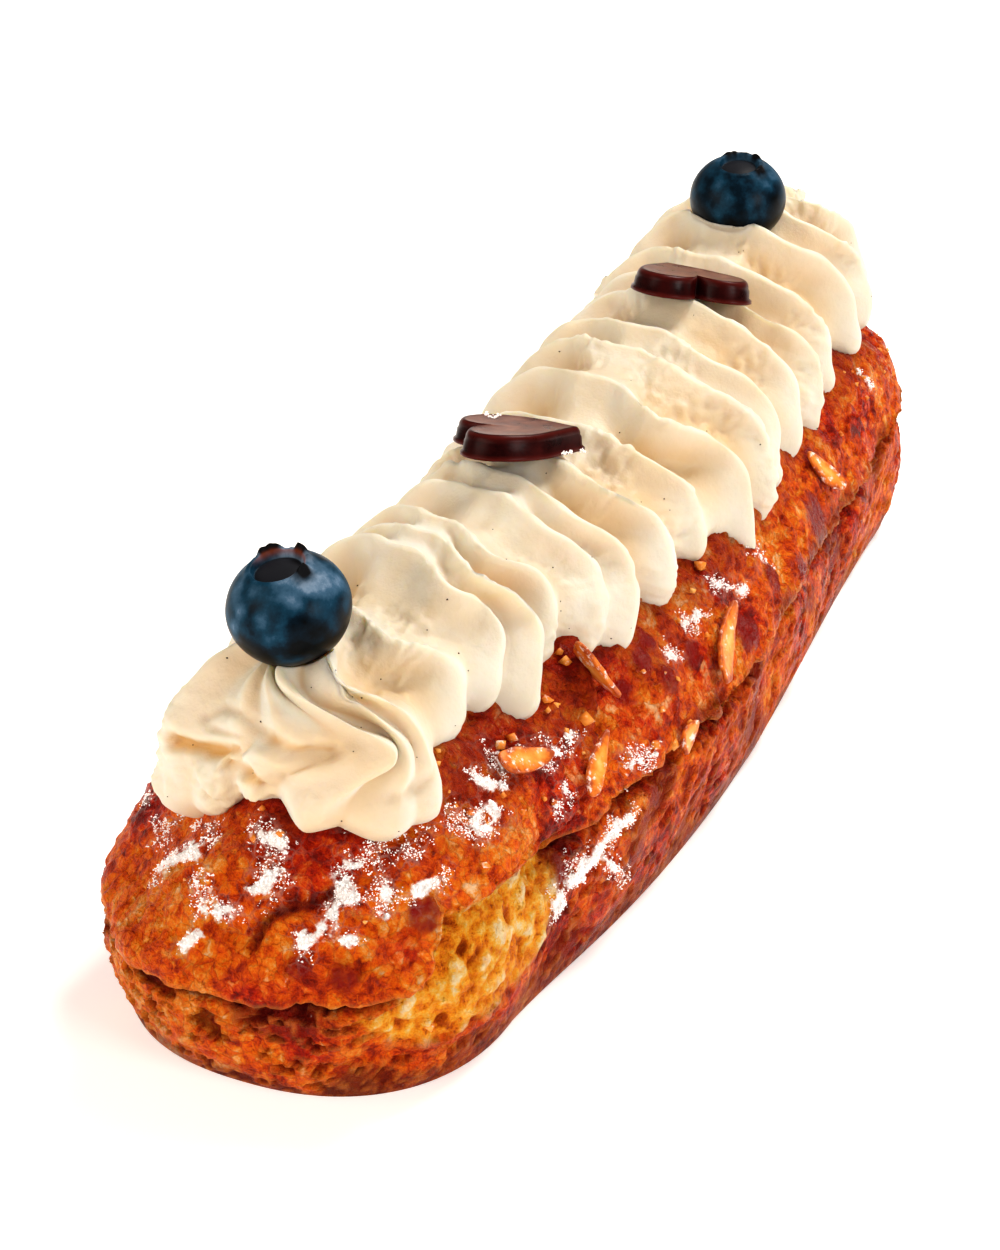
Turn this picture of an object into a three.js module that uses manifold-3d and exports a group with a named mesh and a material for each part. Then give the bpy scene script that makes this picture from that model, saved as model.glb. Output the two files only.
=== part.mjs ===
// A choux eclair with cream piped along its top, two berries, two chocolate hearts and baked-on flakes.
// Millimetres, +Z up. The bun lies along X and rests on its flat base at Z = 0.

import * as THREE from "three";
import { mergeVertices } from "three/addons/utils/BufferGeometryUtils.js";
import Module from "manifold-3d";

const wasm = await Module();
wasm.setup();

// Pastry sizes
const LENGTH = 163;
const WIDTH = 47;
const HEIGHT = 33;
const BELLY = 12.5; // height of the widest line
const BASE_TUCK = 2; // how far the base is drawn in under the widest line
const TOP_ROUND = 0.9; // share of the half width that the top rounds over
const SIDE_POWER = 2; // how full the shoulder is: 2 is a circle
const END_SLOPE = 0.65; // the shoulder is less full round the ends
const LEFT_SLOPE = 0.45; // and along the left side
const NEAR_LEFT_SLOPE = 0.5; // and most of all at the near left corner
const FAR_RIGHT_FULL = 0.2; // but it is fuller at the far right corner
const END_SQUARE = 2.3; // 2 would make the ends half circles in plan
const BOW = 5.5; // the bun bends this far to one side at its middle
const NEAR_SLIM = 1.2; // the near end is a little narrower
const LUMP = 0.6; // unevenness of the baked crust

// The crack where the dough rose: it runs low round the near end and higher along the right side.
const SEAM_HEIGHT = 14;
const SEAM_TILT = 2;
const SEAM_NEAR_DROP = 3.5;
const SEAM_DEPTH = 2.3;
const SEAM_BELOW = 2.4; // its lower slope, and the short overhanging slope over it
const SEAM_ABOVE = 0.9;
const LIP = 0.8; // the upper crust stands out over the crack

// The near cap of crust: its edge climbs the right side, over torn crumb first and then over a split.
const CAP_X = [-79, -75, -69, -50, -41, -33];
const CAP_Z = [10.2, 12.5, 19.5, 19.5, 22.5, 30];
const CAP_DROP = 1.7; // how far the crumb lies back under the edge
const CAP_LIP = 0.7;
const CAP_FADE = 9; // the step fades out this far below the edge
const TORN_TO = -52; // torn crumb shows up to here
const SHELF_X = [-78, -72, -62, -55, -50]; // lower border of the torn crumb
const SHELF_Z = [9.5, 3.5, 2.5, 7, 13];
const PIT = { at: [-51, -22.5, 16.5], wide: 4, depth: 3 };

// Cream sizes
const CREAM_FROM = -61; // the crest runs between these
const CREAM_TO = 64;
const CREST = 42.8;
const CREST_BUMP = 0.9; // rise of each piped shell at its top
const SHELL_PITCH = 23;
const NEAR_DIP = 1.6; // the near end is lower
const FAR_DIP = -1.2; // and the far end higher
const LEFT_REACH = 14.3; // half width on the far side from the split
const LEFT_SWELL = 2.6; // the left side is fuller by this much at its middle
const LEFT_WAIST = 2; // and slimmer by this much before that
const HEART_DIP = 1.1; // the crest sinks this far under each heart
const SHOULDER = 0.8; // fuller than a circle where it is under 1
const NEAR_SHOULDER = 0.2;
const FAR_SHOULDER = -0.3;
const VALLEY = 4.4; // depth of the hollows that the star nozzle leaves
const CREST_VALLEY = 2.2; // and their depth across the crest
const HOLLOW_FROM = 0.25; // the hollows are full from this share of the way down
const RIDGE_ROUND = 0.3; // radius of a ridge above its foot
const ROLL_FROM = 0.84; // from this share of the way down the foot rolls under
const ROLL_TURN = 1.35; // radians
const FOOT_ROLL = 2.6;
const CREAM_ROOT = 22; // the uncut cream closes at this height, inside the bun
const GAP = 0.3; // clearance between pieces that touch

// Topping sizes
const BERRY = 6.15;
const BERRY_FLAT = 0.89; // height as a share of width
const HEART = 15.2;
const HEART_THICK = 2.7;
const HEART_BEVEL = 0.6;
const FLAKE_THICK = 0.75;

const QUARTER = Math.PI / 2;
const degrees = THREE.MathUtils.degToRad;
const clamp01 = (v) => Math.min(1, Math.max(0, v));
const signedPower = (v, power) => Math.sign(v) * Math.abs(v) ** power;
const bell = (v) => Math.exp(-v * v);
const blend = (a, b, t) => a + (b - a) * t;
const smooth = (v) => THREE.MathUtils.smoothstep(v, 0, 1);

// Straight lines from knot to knot, level past the ends.
function steps(x, knots, values) {
  const i = knots.findIndex((knot) => knot > x);
  if (i === 0) return values[0];
  if (i < 0) return values.at(-1);
  return blend(values[i - 1], values[i], (x - knots[i - 1]) / (knots[i] - knots[i - 1]));
}

// Shared geometry helpers

// A skin of stacked rings, whose first and last rings are drawn together on a line or a point.
function ringGeometry(rows, columns, pointAt) {
  const positions = [];
  for (let i = 0; i < rows; i++) {
    for (let j = 0; j < columns; j++) positions.push(...pointAt(i, j));
  }
  const at = (i, j) => i * columns + (j % columns);
  const index = [];
  for (let i = 0; i < rows - 1; i++) {
    for (let j = 0; j < columns; j++) {
      index.push(at(i, j), at(i, j + 1), at(i + 1, j));
      index.push(at(i, j + 1), at(i + 1, j + 1), at(i + 1, j));
    }
  }
  const geometry = new THREE.BufferGeometry();
  geometry.setAttribute("position", new THREE.Float32BufferAttribute(positions, 3));
  geometry.setIndex(index);
  return geometry;
}

function solidOf(geometry) {
  const bare = geometry.clone();
  bare.deleteAttribute("normal");
  bare.deleteAttribute("uv");
  const merged = mergeVertices(bare, 1e-4);
  const corners = merged.index.array;
  const triVerts = [];
  for (let i = 0; i < corners.length; i += 3) {
    const [a, b, c] = corners.slice(i, i + 3);
    if (a !== b && b !== c && c !== a) triVerts.push(a, b, c);
  }
  return new wasm.Manifold(
    new wasm.Mesh({
      numProp: 3,
      vertProperties: new Float32Array(merged.attributes.position.array),
      triVerts: new Uint32Array(triVerts),
    }),
  );
}

function geometryOf(solid) {
  const mesh = solid.getMesh();
  const positions = new Float32Array(mesh.numVert * 3);
  for (let i = 0; i < mesh.numVert; i++) {
    positions.set(mesh.vertProperties.subarray(i * mesh.numProp, i * mesh.numProp + 3), i * 3);
  }
  const geometry = new THREE.BufferGeometry();
  geometry.setAttribute("position", new THREE.BufferAttribute(positions, 3));
  geometry.setIndex(new THREE.BufferAttribute(new Uint32Array(mesh.triVerts), 1));
  return geometry;
}

// Sets a topping down: spun about its own axis, then leaned over towards a side.
function placed(geometry, { at, spin, lean, towards }, scale = 1) {
  const axis = new THREE.Vector3(-Math.sin(degrees(towards)), Math.cos(degrees(towards)), 0);
  const spun = new THREE.Quaternion().setFromAxisAngle(new THREE.Vector3(0, 0, 1), degrees(spin));
  const leaned = new THREE.Quaternion().setFromAxisAngle(axis, degrees(lean)).multiply(spun);
  const size = new THREE.Vector3(scale, scale, scale);
  return geometry.clone().applyMatrix4(new THREE.Matrix4().compose(new THREE.Vector3(...at), leaned, size));
}

// Pastry

const PASTRY_SPINE = (LENGTH - WIDTH) / 2;
const midline = (x) => BOW * (0.37 - bell((x + 12) / 52));
const halfWidth = (along) => WIDTH / 2 - NEAR_SLIM * bell((along + PASTRY_SPINE) / 16);

function lumps(x, y, z) {
  return (
    LUMP *
    (0.6 * Math.sin(x * 0.23 + y * 0.11 + 1.0) * Math.cos(z * 0.21 - y * 0.16) +
      0.5 * Math.sin(x * 0.41 - z * 0.35 + 2.0) * Math.cos(y * 0.29 + 0.7) +
      0.4 * Math.sin(y * 0.47 + z * 0.43 - x * 0.13))
  );
}

function seamHeight(along, turn) {
  const near = Math.max(0, -Math.cos(turn));
  return SEAM_HEIGHT - SEAM_TILT * Math.sin(turn) - SEAM_NEAR_DROP * near + 0.6 * Math.sin(along / 9);
}

function seamDepth(along, turn) {
  const right = Math.max(0, -Math.sin(turn));
  return SEAM_DEPTH * (0.7 + 0.5 * right) * (1 + 0.2 * Math.sin(along / 7 + turn));
}

// How far the crust stands out from the smooth side: in at the crack, out at the lip over it.
function seamRelief(along, turn, over) {
  const depth = seamDepth(along, turn);
  if (over <= -SEAM_BELOW) return 0;
  if (over <= 0) return -depth * (1 + over / SEAM_BELOW);
  if (over <= SEAM_ABOVE) return blend(-depth, LIP, over / SEAM_ABOVE);
  return LIP * bell((over - SEAM_ABOVE) / 4);
}

// Height of the cap's edge over a point of the right side, and how much of the step shows there.
function capDrop(p) {
  const share = smooth((-p.y - 7) / 7) * smooth((p.x + 80) / 4) * smooth((-27 - p.x) / 6);
  return { under: steps(p.x, CAP_X, CAP_Z) - p.z, share };
}

// The cap stands out up to its edge, and the crumb lies back under it.
function capRelief(p) {
  const { under, share } = capDrop(p);
  const step = smooth(under / 1.2);
  const back = -CAP_DROP * Math.exp(-Math.max(under, 0) / CAP_FADE) * step;
  const out = CAP_LIP * bell(Math.min(under, 0) / 3) * (1 - step);
  return share * (back + out);
}

// 1 in the torn crumb of the near right corner, where the crack doesn't show
function tornShare(p) {
  const { under, share } = capDrop(p);
  const low = smooth((p.z - steps(p.x, SHELF_X, SHELF_Z)) / 2.5);
  return share * smooth(under / 0.9) * low * smooth((TORN_TO - p.x) / 3 + 1);
}

const pitRelief = (p) => -PIT.depth * bell(p.distanceTo(new THREE.Vector3(...PIT.at)) / PIT.wide);

// The shoulder is a full round along the right side and slopes more at the two ends and on the left.
function shoulderPower(turn) {
  const end = END_SLOPE * Math.sqrt(Math.abs(Math.cos(turn)));
  const nearLeft = NEAR_LEFT_SLOPE * 2.6 * Math.max(0, Math.sin(turn)) ** 2 * Math.max(0, -Math.cos(turn));
  const farRight = FAR_RIGHT_FULL * 2 * Math.max(0, -Math.sin(turn)) * Math.max(0, Math.cos(turn));
  return SIDE_POWER - Math.max(end, LEFT_SLOPE * Math.sin(turn)) - nearLeft + farRight;
}

function sideRadius(half, turn, z) {
  if (z < BELLY) return half - BASE_TUCK * (1 - z / BELLY) ** 2;
  const rise = clamp01((z - BELLY) / (HEIGHT - BELLY));
  const power = shoulderPower(turn);
  return half * (1 - TOP_ROUND * (1 - (1 - rise ** power) ** (1 / power)));
}

// Height of the smooth bun at a distance out from its middle line.
function topHeight(out, turn) {
  const level = Math.max(0, 1 - (1 - clamp01((2 * out) / WIDTH)) / TOP_ROUND);
  const power = shoulderPower(turn);
  return BELLY + (HEIGHT - BELLY) * clamp01(1 - level ** power) ** (1 / power);
}

// A point of the crust: a place along the spine, a direction out, a height before the crack shifts it.
function pastryPoint({ along, turn }, z, inset, grow) {
  const out = new THREE.Vector3(
    signedPower(Math.cos(turn), 2 / END_SQUARE),
    signedPower(Math.sin(turn), 2 / END_SQUARE),
    0,
  );
  const core = new THREE.Vector3(along, midline(along), BELLY);
  const lift = inset * (seamHeight(along, turn) - SEAM_HEIGHT) * bell((z - SEAM_HEIGHT) / 8) * clamp01(z / 6);
  const point = core.clone().setZ(z + lift);
  point.addScaledVector(out, sideRadius(halfWidth(along), turn, z + lift) * inset);
  const away = point.clone().sub(core).normalize();
  const crack = inset * (1 - tornShare(point)) * seamRelief(along, turn, z - SEAM_HEIGHT);
  const relief = lumps(point.x, point.y, point.z) + crack + capRelief(point) + pitRelief(point);
  point.addScaledVector(away, relief * clamp01(z / 4) + grow);
  if (z === 0) point.z = -grow;
  return point;
}

// Places round the bun: each is a point along the spine and a direction out from it.
function pastryColumns(sideSteps, endSteps) {
  const columns = [];
  const along = (i) => PASTRY_SPINE * (2 * (i / sideSteps) - 1);
  for (let i = 0; i <= sideSteps; i++) columns.push({ along: along(i), turn: -QUARTER });
  const turnAt = (i, start) => QUARTER * ((2 * i) / endSteps + start);
  for (let i = 1; i < endSteps; i++) columns.push({ along: PASTRY_SPINE, turn: turnAt(i, -1) });
  for (let i = sideSteps; i >= 0; i--) columns.push({ along: along(i), turn: QUARTER });
  for (let i = 1; i < endSteps; i++) columns.push({ along: -PASTRY_SPINE, turn: turnAt(i, 1) });
  return columns;
}

// Heights of the rings: up the lower band, into the crack, out at the lip and over the top.
function pastryRows(lowerRows, topRows) {
  const rows = [{ z: 0, inset: 0 }];
  const lowest = SEAM_HEIGHT - SEAM_BELOW;
  for (let i = 0; i < lowerRows; i++) rows.push({ z: (lowest * i) / lowerRows, inset: 1 });
  for (const over of [-SEAM_BELOW, 0, SEAM_ABOVE]) rows.push({ z: SEAM_HEIGHT + over, inset: 1 });
  const first = Math.asin((SEAM_HEIGHT + SEAM_ABOVE - BELLY) / (HEIGHT - BELLY));
  for (let i = 1; i <= topRows; i++) {
    rows.push({ z: BELLY + (HEIGHT - BELLY) * Math.sin(blend(first, QUARTER, i / topRows)), inset: 1 });
  }
  rows.push({ z: HEIGHT, inset: 0 });
  return rows;
}

function pastrySkin(grow) {
  const columns = pastryColumns(30, 16);
  const rows = pastryRows(4, 8);
  return ringGeometry(rows.length, columns.length, (i, j) => {
    return pastryPoint(columns[j], rows[i].z, rows[i].inset, grow).toArray();
  });
}

// Almond flakes baked on to the crust: place along the bun, side, height, spin, half length and half width.
const FLAKES = [
  { x: -35.8, side: -1, z: 27.5, spin: -65, long: 4.2, wide: 2.0 },
  { x: -11.7, side: -1, z: 20.5, spin: 25, long: 6.0, wide: 1.5 },
  { x: -43.2, side: -1, z: 21.1, spin: 30, long: 4.0, wide: 1.1 },
  { x: -26.2, side: -1, z: 15.9, spin: 18, long: 2.4, wide: 1.2 },
  { x: -51.0, side: -1, z: 25.9, spin: -23, long: 3.7, wide: 1.4 },
  { x: 30, side: -1, z: 22, spin: 110, long: 3.5, wide: 1.5 },
  { x: -48, side: 1, z: 25, spin: 40, long: 4.2, wide: 2.0 },
  { x: -20, side: 1, z: 22, spin: 125, long: 5.0, wide: 1.5 },
  { x: 8, side: 1, z: 22.5, spin: 60, long: 3.8, wide: 1.8 },
  { x: 34, side: 1, z: 21, spin: 20, long: 3.5, wide: 1.6 },
];

function flakeSolid({ x, side, z, spin, long, wide }, grow) {
  const column = { along: x, turn: side * QUARTER };
  const point = pastryPoint(column, z, 1, 0);
  const along = pastryPoint({ ...column, along: x + 1 }, z, 1, 0).sub(point).normalize();
  const upward = pastryPoint(column, z + 0.5, 1, 0).sub(point).normalize();
  const normal = new THREE.Vector3().crossVectors(along, upward).multiplyScalar(-side).normalize();
  const frame = new THREE.Matrix4().makeBasis(along, new THREE.Vector3().crossVectors(normal, along), normal);
  const geometry = new THREE.SphereGeometry(1, 9, 5);
  geometry.scale(long + grow, wide + grow, FLAKE_THICK + grow);
  geometry.rotateZ(degrees(spin));
  geometry.applyMatrix4(frame.setPosition(point));
  return solidOf(geometry);
}

// Chocolate hearts: their tips point along -Y before they are spun and leaned.
const HEARTS = {
  heart_near: { at: [-15.5, -1.9, 43.6], spin: 31, lean: 15, towards: 15 },
  heart_far: { at: [33.7, -2.3, 43.2], spin: 133, lean: 17, towards: -5 },
};

// Cream

const STEPS = 4; // facets from one ridge to the next

// Ridges of the right side: where each leaves the crest, its foot, its reach, depth of the hollow after it
// above and low down, radius of its foot, and how far it hooks back just under the crest.
const RIGHT_RIDGES = [
  { crest: -54, foot: -54.5, reach: 12.9, deep: 0.9, low: 0.6, fat: 2.5, hook: 2.5 },
  { crest: -42.5, foot: -50.5, reach: 13.2, deep: 1.0, low: 0.9, fat: 1.2, hook: 3.0 },
  { crest: -39.5, foot: -46.5, reach: 16.0, deep: 1.2, low: 1.2, fat: 0.9, hook: 3.0 },
  { crest: -36, foot: -38, reach: 13.7, deep: 0.9, low: 0.8, fat: 3.0, hook: 3.0 },
  { crest: -25, foot: -33, reach: 15.3, deep: 0.9, low: 0.5, fat: 3.0, hook: 2.5 },
  { crest: -21, foot: -28.5, reach: 17.5, deep: 1.1, low: 1.1, fat: 0.8, hook: 2.5 },
  { crest: -16, foot: -15.5, reach: 17.4, deep: 0.9, low: 0.7, fat: 3.5, hook: 2.0 },
  { crest: -6, foot: -5.5, reach: 16.8, deep: 1.0, low: 0.45, fat: 0.8, hook: 1.0 },
  { crest: 4, foot: 4.5, reach: 20.0, deep: 1.0, low: 0.8, fat: 0.6, hook: 4.5 },
  { crest: 14, foot: 13, reach: 19.6, deep: 0.8, low: 0.5, fat: 2.5, hook: 2.0 },
  { crest: 22, foot: 19, reach: 18.8, deep: 1.0, low: 0.7, fat: 2.0, hook: 2.5 },
  { crest: 30, foot: 27.5, reach: 18.8, deep: 1.0, low: 0.8, fat: 3.0, hook: 0.5 },
  { crest: 38.5, foot: 36.5, reach: 19.6, deep: 0.9, low: 0.8, fat: 2.0, hook: 2.0 },
  { crest: 45.5, foot: 46.5, reach: 18.2, deep: 1.0, low: 0.8, fat: 2.0, hook: 1.0 },
  { crest: 54.5, foot: 58.5, reach: 18.4, deep: 1.0, low: 0.7, fat: 3.0, hook: 2.0 },
  { crest: 64, foot: 66, reach: 17.4, deep: 1.0, low: 0.7, fat: 3.0, hook: 2.0 },
];
const SIDE_SWING = 1.3;

// Ridges that fan round the two ends: direction out, reach, depth of the hollow after it above and low down,
// radius of the foot, hook under the crest, and swing further down.
const FAR_RIDGES = [
  { turn: -54, reach: 18.0, deep: 1.0, low: 0.8, fat: 3, hook: 2, swing: 1 },
  { turn: -14, reach: 16.0, deep: 1.0, low: 1.0, fat: 3, hook: 2, swing: 1 },
  { turn: 24, reach: 14.5, deep: 1.0, low: 1.0, fat: 3, hook: 2, swing: 1 },
  { turn: 60, reach: 14.5, deep: 1.0, low: 1.0, fat: 3, hook: 2, swing: 1 },
];
const NEAR_RIDGES = [
  { turn: 112, reach: 15.8, deep: 0.35, low: 0.35, fat: 3.0, hook: 0, swing: 1 },
  { turn: 150, reach: 11.2, deep: 0.35, low: 0.4, fat: 2.0, hook: 0, swing: 2 },
  { turn: 172, reach: 10.9, deep: 0.6, low: 0.6, fat: 1.5, hook: 1, swing: 3 },
  { turn: 203, reach: 13.0, deep: 0.85, low: 0.55, fat: 1.6, hook: 2.5, swing: 9.0 },
  { turn: 238, reach: 15.5, deep: 0.5, low: 0.3, fat: 5.0, hook: 1.0, swing: 2.5 },
  { turn: 258, reach: 16.0, deep: 0.9, low: 0.6, fat: 2.5, hook: 3.8, swing: 0 },
];

const leftSwell = (x) => LEFT_SWELL * bell((x - 6) / 20) - LEFT_WAIST * bell((x + 36) / 9);

// All ridges in order round the cream: along the right side, round the far end, back, and round the near end.
function allRidges() {
  const right = RIGHT_RIDGES.map((ridge) => ({ ...ridge, turn: -90, swing: SIDE_SWING }));
  const left = RIGHT_RIDGES.map(({ crest }, i) => ({
    crest,
    foot: crest + 4 * Math.sin(((crest - CREAM_FROM) * Math.PI) / (CREAM_TO - CREAM_FROM)),
    reach: LEFT_REACH + Math.sin(i * 2.1) + leftSwell(crest),
    turn: 90,
    deep: 1,
    low: 1,
    fat: 2,
    hook: 2,
    swing: SIDE_SWING,
  }));
  const far = FAR_RIDGES.map((ridge) => ({ ...ridge, crest: CREAM_TO, foot: CREAM_TO }));
  const near = NEAR_RIDGES.map((ridge) => ({ ...ridge, crest: CREAM_FROM, foot: CREAM_FROM }));
  return [...right, ...far, ...left.reverse(), ...near];
}

// Columns from ridge to ridge: what the ridges have, blended, and the width and depths of the hollow between.
function creamColumns() {
  const ridges = allRidges();
  const columns = [];
  ridges.forEach((ridge, i) => {
    const next = { ...ridges[(i + 1) % ridges.length] };
    if (next.turn < ridge.turn - 180) next.turn += 360;
    const spread = Math.abs(next.foot - ridge.foot) + degrees(Math.abs(next.turn - ridge.turn)) * ridge.reach;
    const crestGap = Math.abs(next.crest - ridge.crest);
    const valley = VALLEY * clamp01(0.25 + spread / 12);
    for (let step = 0; step < STEPS; step++) {
      const t = step / STEPS;
      const column = { edge: 2 * Math.min(t, 1 - t), gap: Math.max(crestGap, spread, 3) };
      for (const key of ["crest", "foot", "reach", "turn", "fat", "hook", "swing"]) {
        column[key] = blend(ridge[key], next[key], t);
      }
      column.turn = degrees(column.turn);
      column.depths = [CREST_VALLEY * clamp01(crestGap / 9), ridge.deep * valley, ridge.low * valley];
      columns.push(column);
    }
  });
  return columns;
}

function crestHeight(x) {
  let dips = NEAR_DIP * bell((x - CREAM_FROM) / 9) + FAR_DIP * bell((x - CREAM_TO) / 9);
  for (const { at } of Object.values(HEARTS)) dips += HEART_DIP * bell((x - at[0]) / 8);
  return CREST + CREST_BUMP * Math.cos(((x - CREAM_FROM) * 2 * Math.PI) / SHELL_PITCH) - dips;
}

// A ridge hooks one way just under the crest and swings the other way further down.
function drift({ hook, swing }, s) {
  return smooth(s / 0.1) * (swing * bell((s - 0.58) / 0.17) - hook * bell((s - 0.23) / 0.15));
}

// How far a column lies back from its ridges, which are sharp above and rounder at the foot.
function hollowDepth({ edge, gap, fat, depths }, s) {
  const radius = blend(Math.max(RIDGE_ROUND, fat - 3), fat, smooth((s - 0.35) / 0.6));
  const soft = (smooth(s / 0.1) * radius * 2) / gap;
  const inside = Math.hypot(edge, soft) - soft;
  const upper = blend(depths[0], depths[1], smooth(s / HOLLOW_FROM));
  return inside * (2 - inside) * blend(upper, depths[2], smooth((s - 0.5) / 0.35));
}

// A point of the cream from the crest (s = 0) down to the foot (s = 1), where it rolls under.
function creamPoint(column, s) {
  const { crest, foot, reach, turn } = column;
  const sunk = hollowDepth(column, s);
  const along = blend(crest, foot, s ** 1.5);
  const wide = reach - sunk * smooth(s / 0.15);
  const widest = topHeight(wide, turn) + 0.8 * FOOT_ROLL;
  const angle = QUARTER * (1 - Math.min(s / ROLL_FROM, 1));
  const roll = ROLL_TURN * clamp01((s - ROLL_FROM) / (1 - ROLL_FROM));
  const z = blend(widest, crestHeight(crest) - sunk, Math.sin(angle)) - FOOT_ROLL * Math.sin(roll);
  const ends = NEAR_SHOULDER * Math.max(0, -Math.cos(turn)) + FAR_SHOULDER * Math.max(0, Math.cos(turn));
  const shoulder = s === 0 ? 0 : Math.cos(angle) ** (SHOULDER + ends);
  const out = wide * shoulder - FOOT_ROLL * (1 - Math.cos(roll));
  const beside = drift(column, s);
  const point = new THREE.Vector3(along, midline(along), z);
  point.x += Math.cos(turn) * out - Math.sin(turn) * beside;
  point.y += Math.sin(turn) * out + Math.cos(turn) * beside;
  return point;
}

// Shares of the way down, from the foot to the crest: three under the roll and the rest above it.
const CREAM_LEVELS = [1, 0.947, 0.893, 0.84, 0.74, 0.64, 0.54, 0.45, 0.36, 0.27, 0.18, 0.1, 0.04, 0];

function creamSkin() {
  const columns = creamColumns();
  return ringGeometry(CREAM_LEVELS.length + 1, columns.length, (i, j) => {
    const { crest } = columns[j];
    if (i === 0) return [crest, midline(crest), CREAM_ROOT];
    return creamPoint(columns[j], CREAM_LEVELS[i - 1]).toArray();
  });
}

// Berries

// A flattened ball with a shallow crater on top, inside a low crown of five points.
function berryGeometry(crown) {
  const rows = 16;
  const columns = 20;
  return ringGeometry(rows + 1, columns, (i, j) => {
    const polar = Math.PI * (1 - i / rows);
    const round = (j / columns) * 4 * QUARTER;
    const wide = i === 0 || i === rows ? 0 : Math.sin(polar);
    const rim = wide === 0 ? 0 : bell((wide - crown) / 0.1) * (0.05 + 0.05 * Math.cos(5 * round));
    const crater = 0.16 * smooth((crown - wide) / 0.14);
    const lift = polar < QUARTER ? rim - crater : 0;
    const up = Math.cos(polar) * BERRY_FLAT + lift;
    return [BERRY * wide * Math.cos(round), BERRY * wide * Math.sin(round), BERRY * up];
  });
}

// The radius of each crown is a share of the berry's.
const BERRIES = {
  berry_near: { crown: 0.45, at: [-62.3, 1.0, 45.2], spin: 20, lean: 12.5, towards: 143 },
  berry_far: { crown: 0.42, at: [58.4, 0.3, 45.0], spin: 50, lean: 9, towards: 200 },
};

// Hearts

function heartGeometry() {
  const r = HEART / 2 - HEART_BEVEL;
  const outline = new THREE.Shape();
  outline.moveTo(0, -r);
  outline.bezierCurveTo(r * 0.5, -r * 0.6, r, -r * 0.15, r, r * 0.3);
  outline.bezierCurveTo(r, r * 0.95, r * 0.2, r * 1.05, 0, r * 0.45);
  outline.bezierCurveTo(-r * 0.2, r * 1.05, -r, r * 0.95, -r, r * 0.3);
  outline.bezierCurveTo(-r, -r * 0.15, -r * 0.5, -r * 0.6, 0, -r);
  return new THREE.ExtrudeGeometry(outline, {
    depth: HEART_THICK - 2 * HEART_BEVEL,
    bevelThickness: HEART_BEVEL,
    bevelSize: HEART_BEVEL,
    bevelSegments: 2,
    curveSegments: 7,
  }).translate(0, 0, HEART_BEVEL - HEART_THICK / 2);
}

// Assembly

const bun = solidOf(pastrySkin(0));
const pastry = FLAKES.reduce((sum, flake) => sum.add(flakeSolid(flake, 0)), bun);
const heart = heartGeometry();
const heartSolid = (place, scale) => solidOf(placed(heart, place, scale));
const berrySolid = (place, scale) => solidOf(placed(berryGeometry(place.crown), place, scale));
const grown = (size) => (size + 2 * GAP) / size;
const cutters = [
  solidOf(pastrySkin(GAP)),
  ...FLAKES.map((flake) => flakeSolid(flake, GAP)),
  ...Object.values(BERRIES).map((place) => berrySolid(place, grown(2 * BERRY * BERRY_FLAT))),
  ...Object.values(HEARTS).map((place) => heartSolid(place, grown(HEART_THICK))),
];
const cream = cutters.reduce((rest, cutter) => rest.subtract(cutter), solidOf(creamSkin()));

const part = new THREE.Group();

function addPiece(name, solid, color, roughness) {
  const material = new THREE.MeshStandardMaterial({ color, roughness, metalness: 0 });
  const mesh = new THREE.Mesh(geometryOf(solid), material);
  mesh.name = name;
  part.add(mesh);
}

addPiece("pastry", pastry, 0xc65a1c, 0.65);
addPiece("cream", cream, 0xf3dcb8, 0.5);
for (const [name, place] of Object.entries(BERRIES)) addPiece(name, berrySolid(place, 1), 0x1d2c40, 0.45);
for (const [name, place] of Object.entries(HEARTS)) addPiece(name, heartSolid(place, 1), 0x3a1510, 0.35);

// The origin is under the middle of the whole, on the surface that it rests on.
const box = new THREE.Box3().setFromObject(part);
part.position.set(-(box.min.x + box.max.x) / 2, -(box.min.y + box.max.y) / 2, -box.min.z);

export default part;
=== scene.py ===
from itertools import product

import bmesh
import bpy
import numpy as np
from mathutils import Matrix, Vector
from mathutils.bvhtree import BVHTree


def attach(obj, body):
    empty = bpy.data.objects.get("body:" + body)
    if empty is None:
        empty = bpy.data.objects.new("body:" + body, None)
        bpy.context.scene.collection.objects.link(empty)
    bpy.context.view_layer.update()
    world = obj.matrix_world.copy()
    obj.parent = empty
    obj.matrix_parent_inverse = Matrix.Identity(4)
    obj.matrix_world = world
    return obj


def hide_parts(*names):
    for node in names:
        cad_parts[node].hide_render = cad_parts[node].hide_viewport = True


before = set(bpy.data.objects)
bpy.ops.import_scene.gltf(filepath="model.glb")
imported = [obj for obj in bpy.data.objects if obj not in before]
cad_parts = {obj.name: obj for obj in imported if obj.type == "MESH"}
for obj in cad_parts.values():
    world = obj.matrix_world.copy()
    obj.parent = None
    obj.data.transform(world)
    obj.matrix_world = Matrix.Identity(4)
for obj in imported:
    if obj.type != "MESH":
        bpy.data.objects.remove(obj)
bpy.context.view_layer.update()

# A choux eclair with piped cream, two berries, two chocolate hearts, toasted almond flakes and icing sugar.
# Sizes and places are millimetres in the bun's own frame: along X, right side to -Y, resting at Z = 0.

MM = 0.001
BUN_TO_PART = np.array([-0.238, 1.197, 0.0])  # from the bun's own frame to the part's, whose box is centred
QUARTER = np.pi / 2

# Camera fitted to the photo
PHOTO = (1000, 1250)  # pixels
FOCAL_PIXELS = 3000
AIM = np.array([-19.26, -1.69, 22.13])
AIM_DISTANCE = 332.8
VIEW_TURN = -65.47  # degrees round from looking along +Y
VIEW_RISE = 29.02
SENSOR = 36

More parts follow.
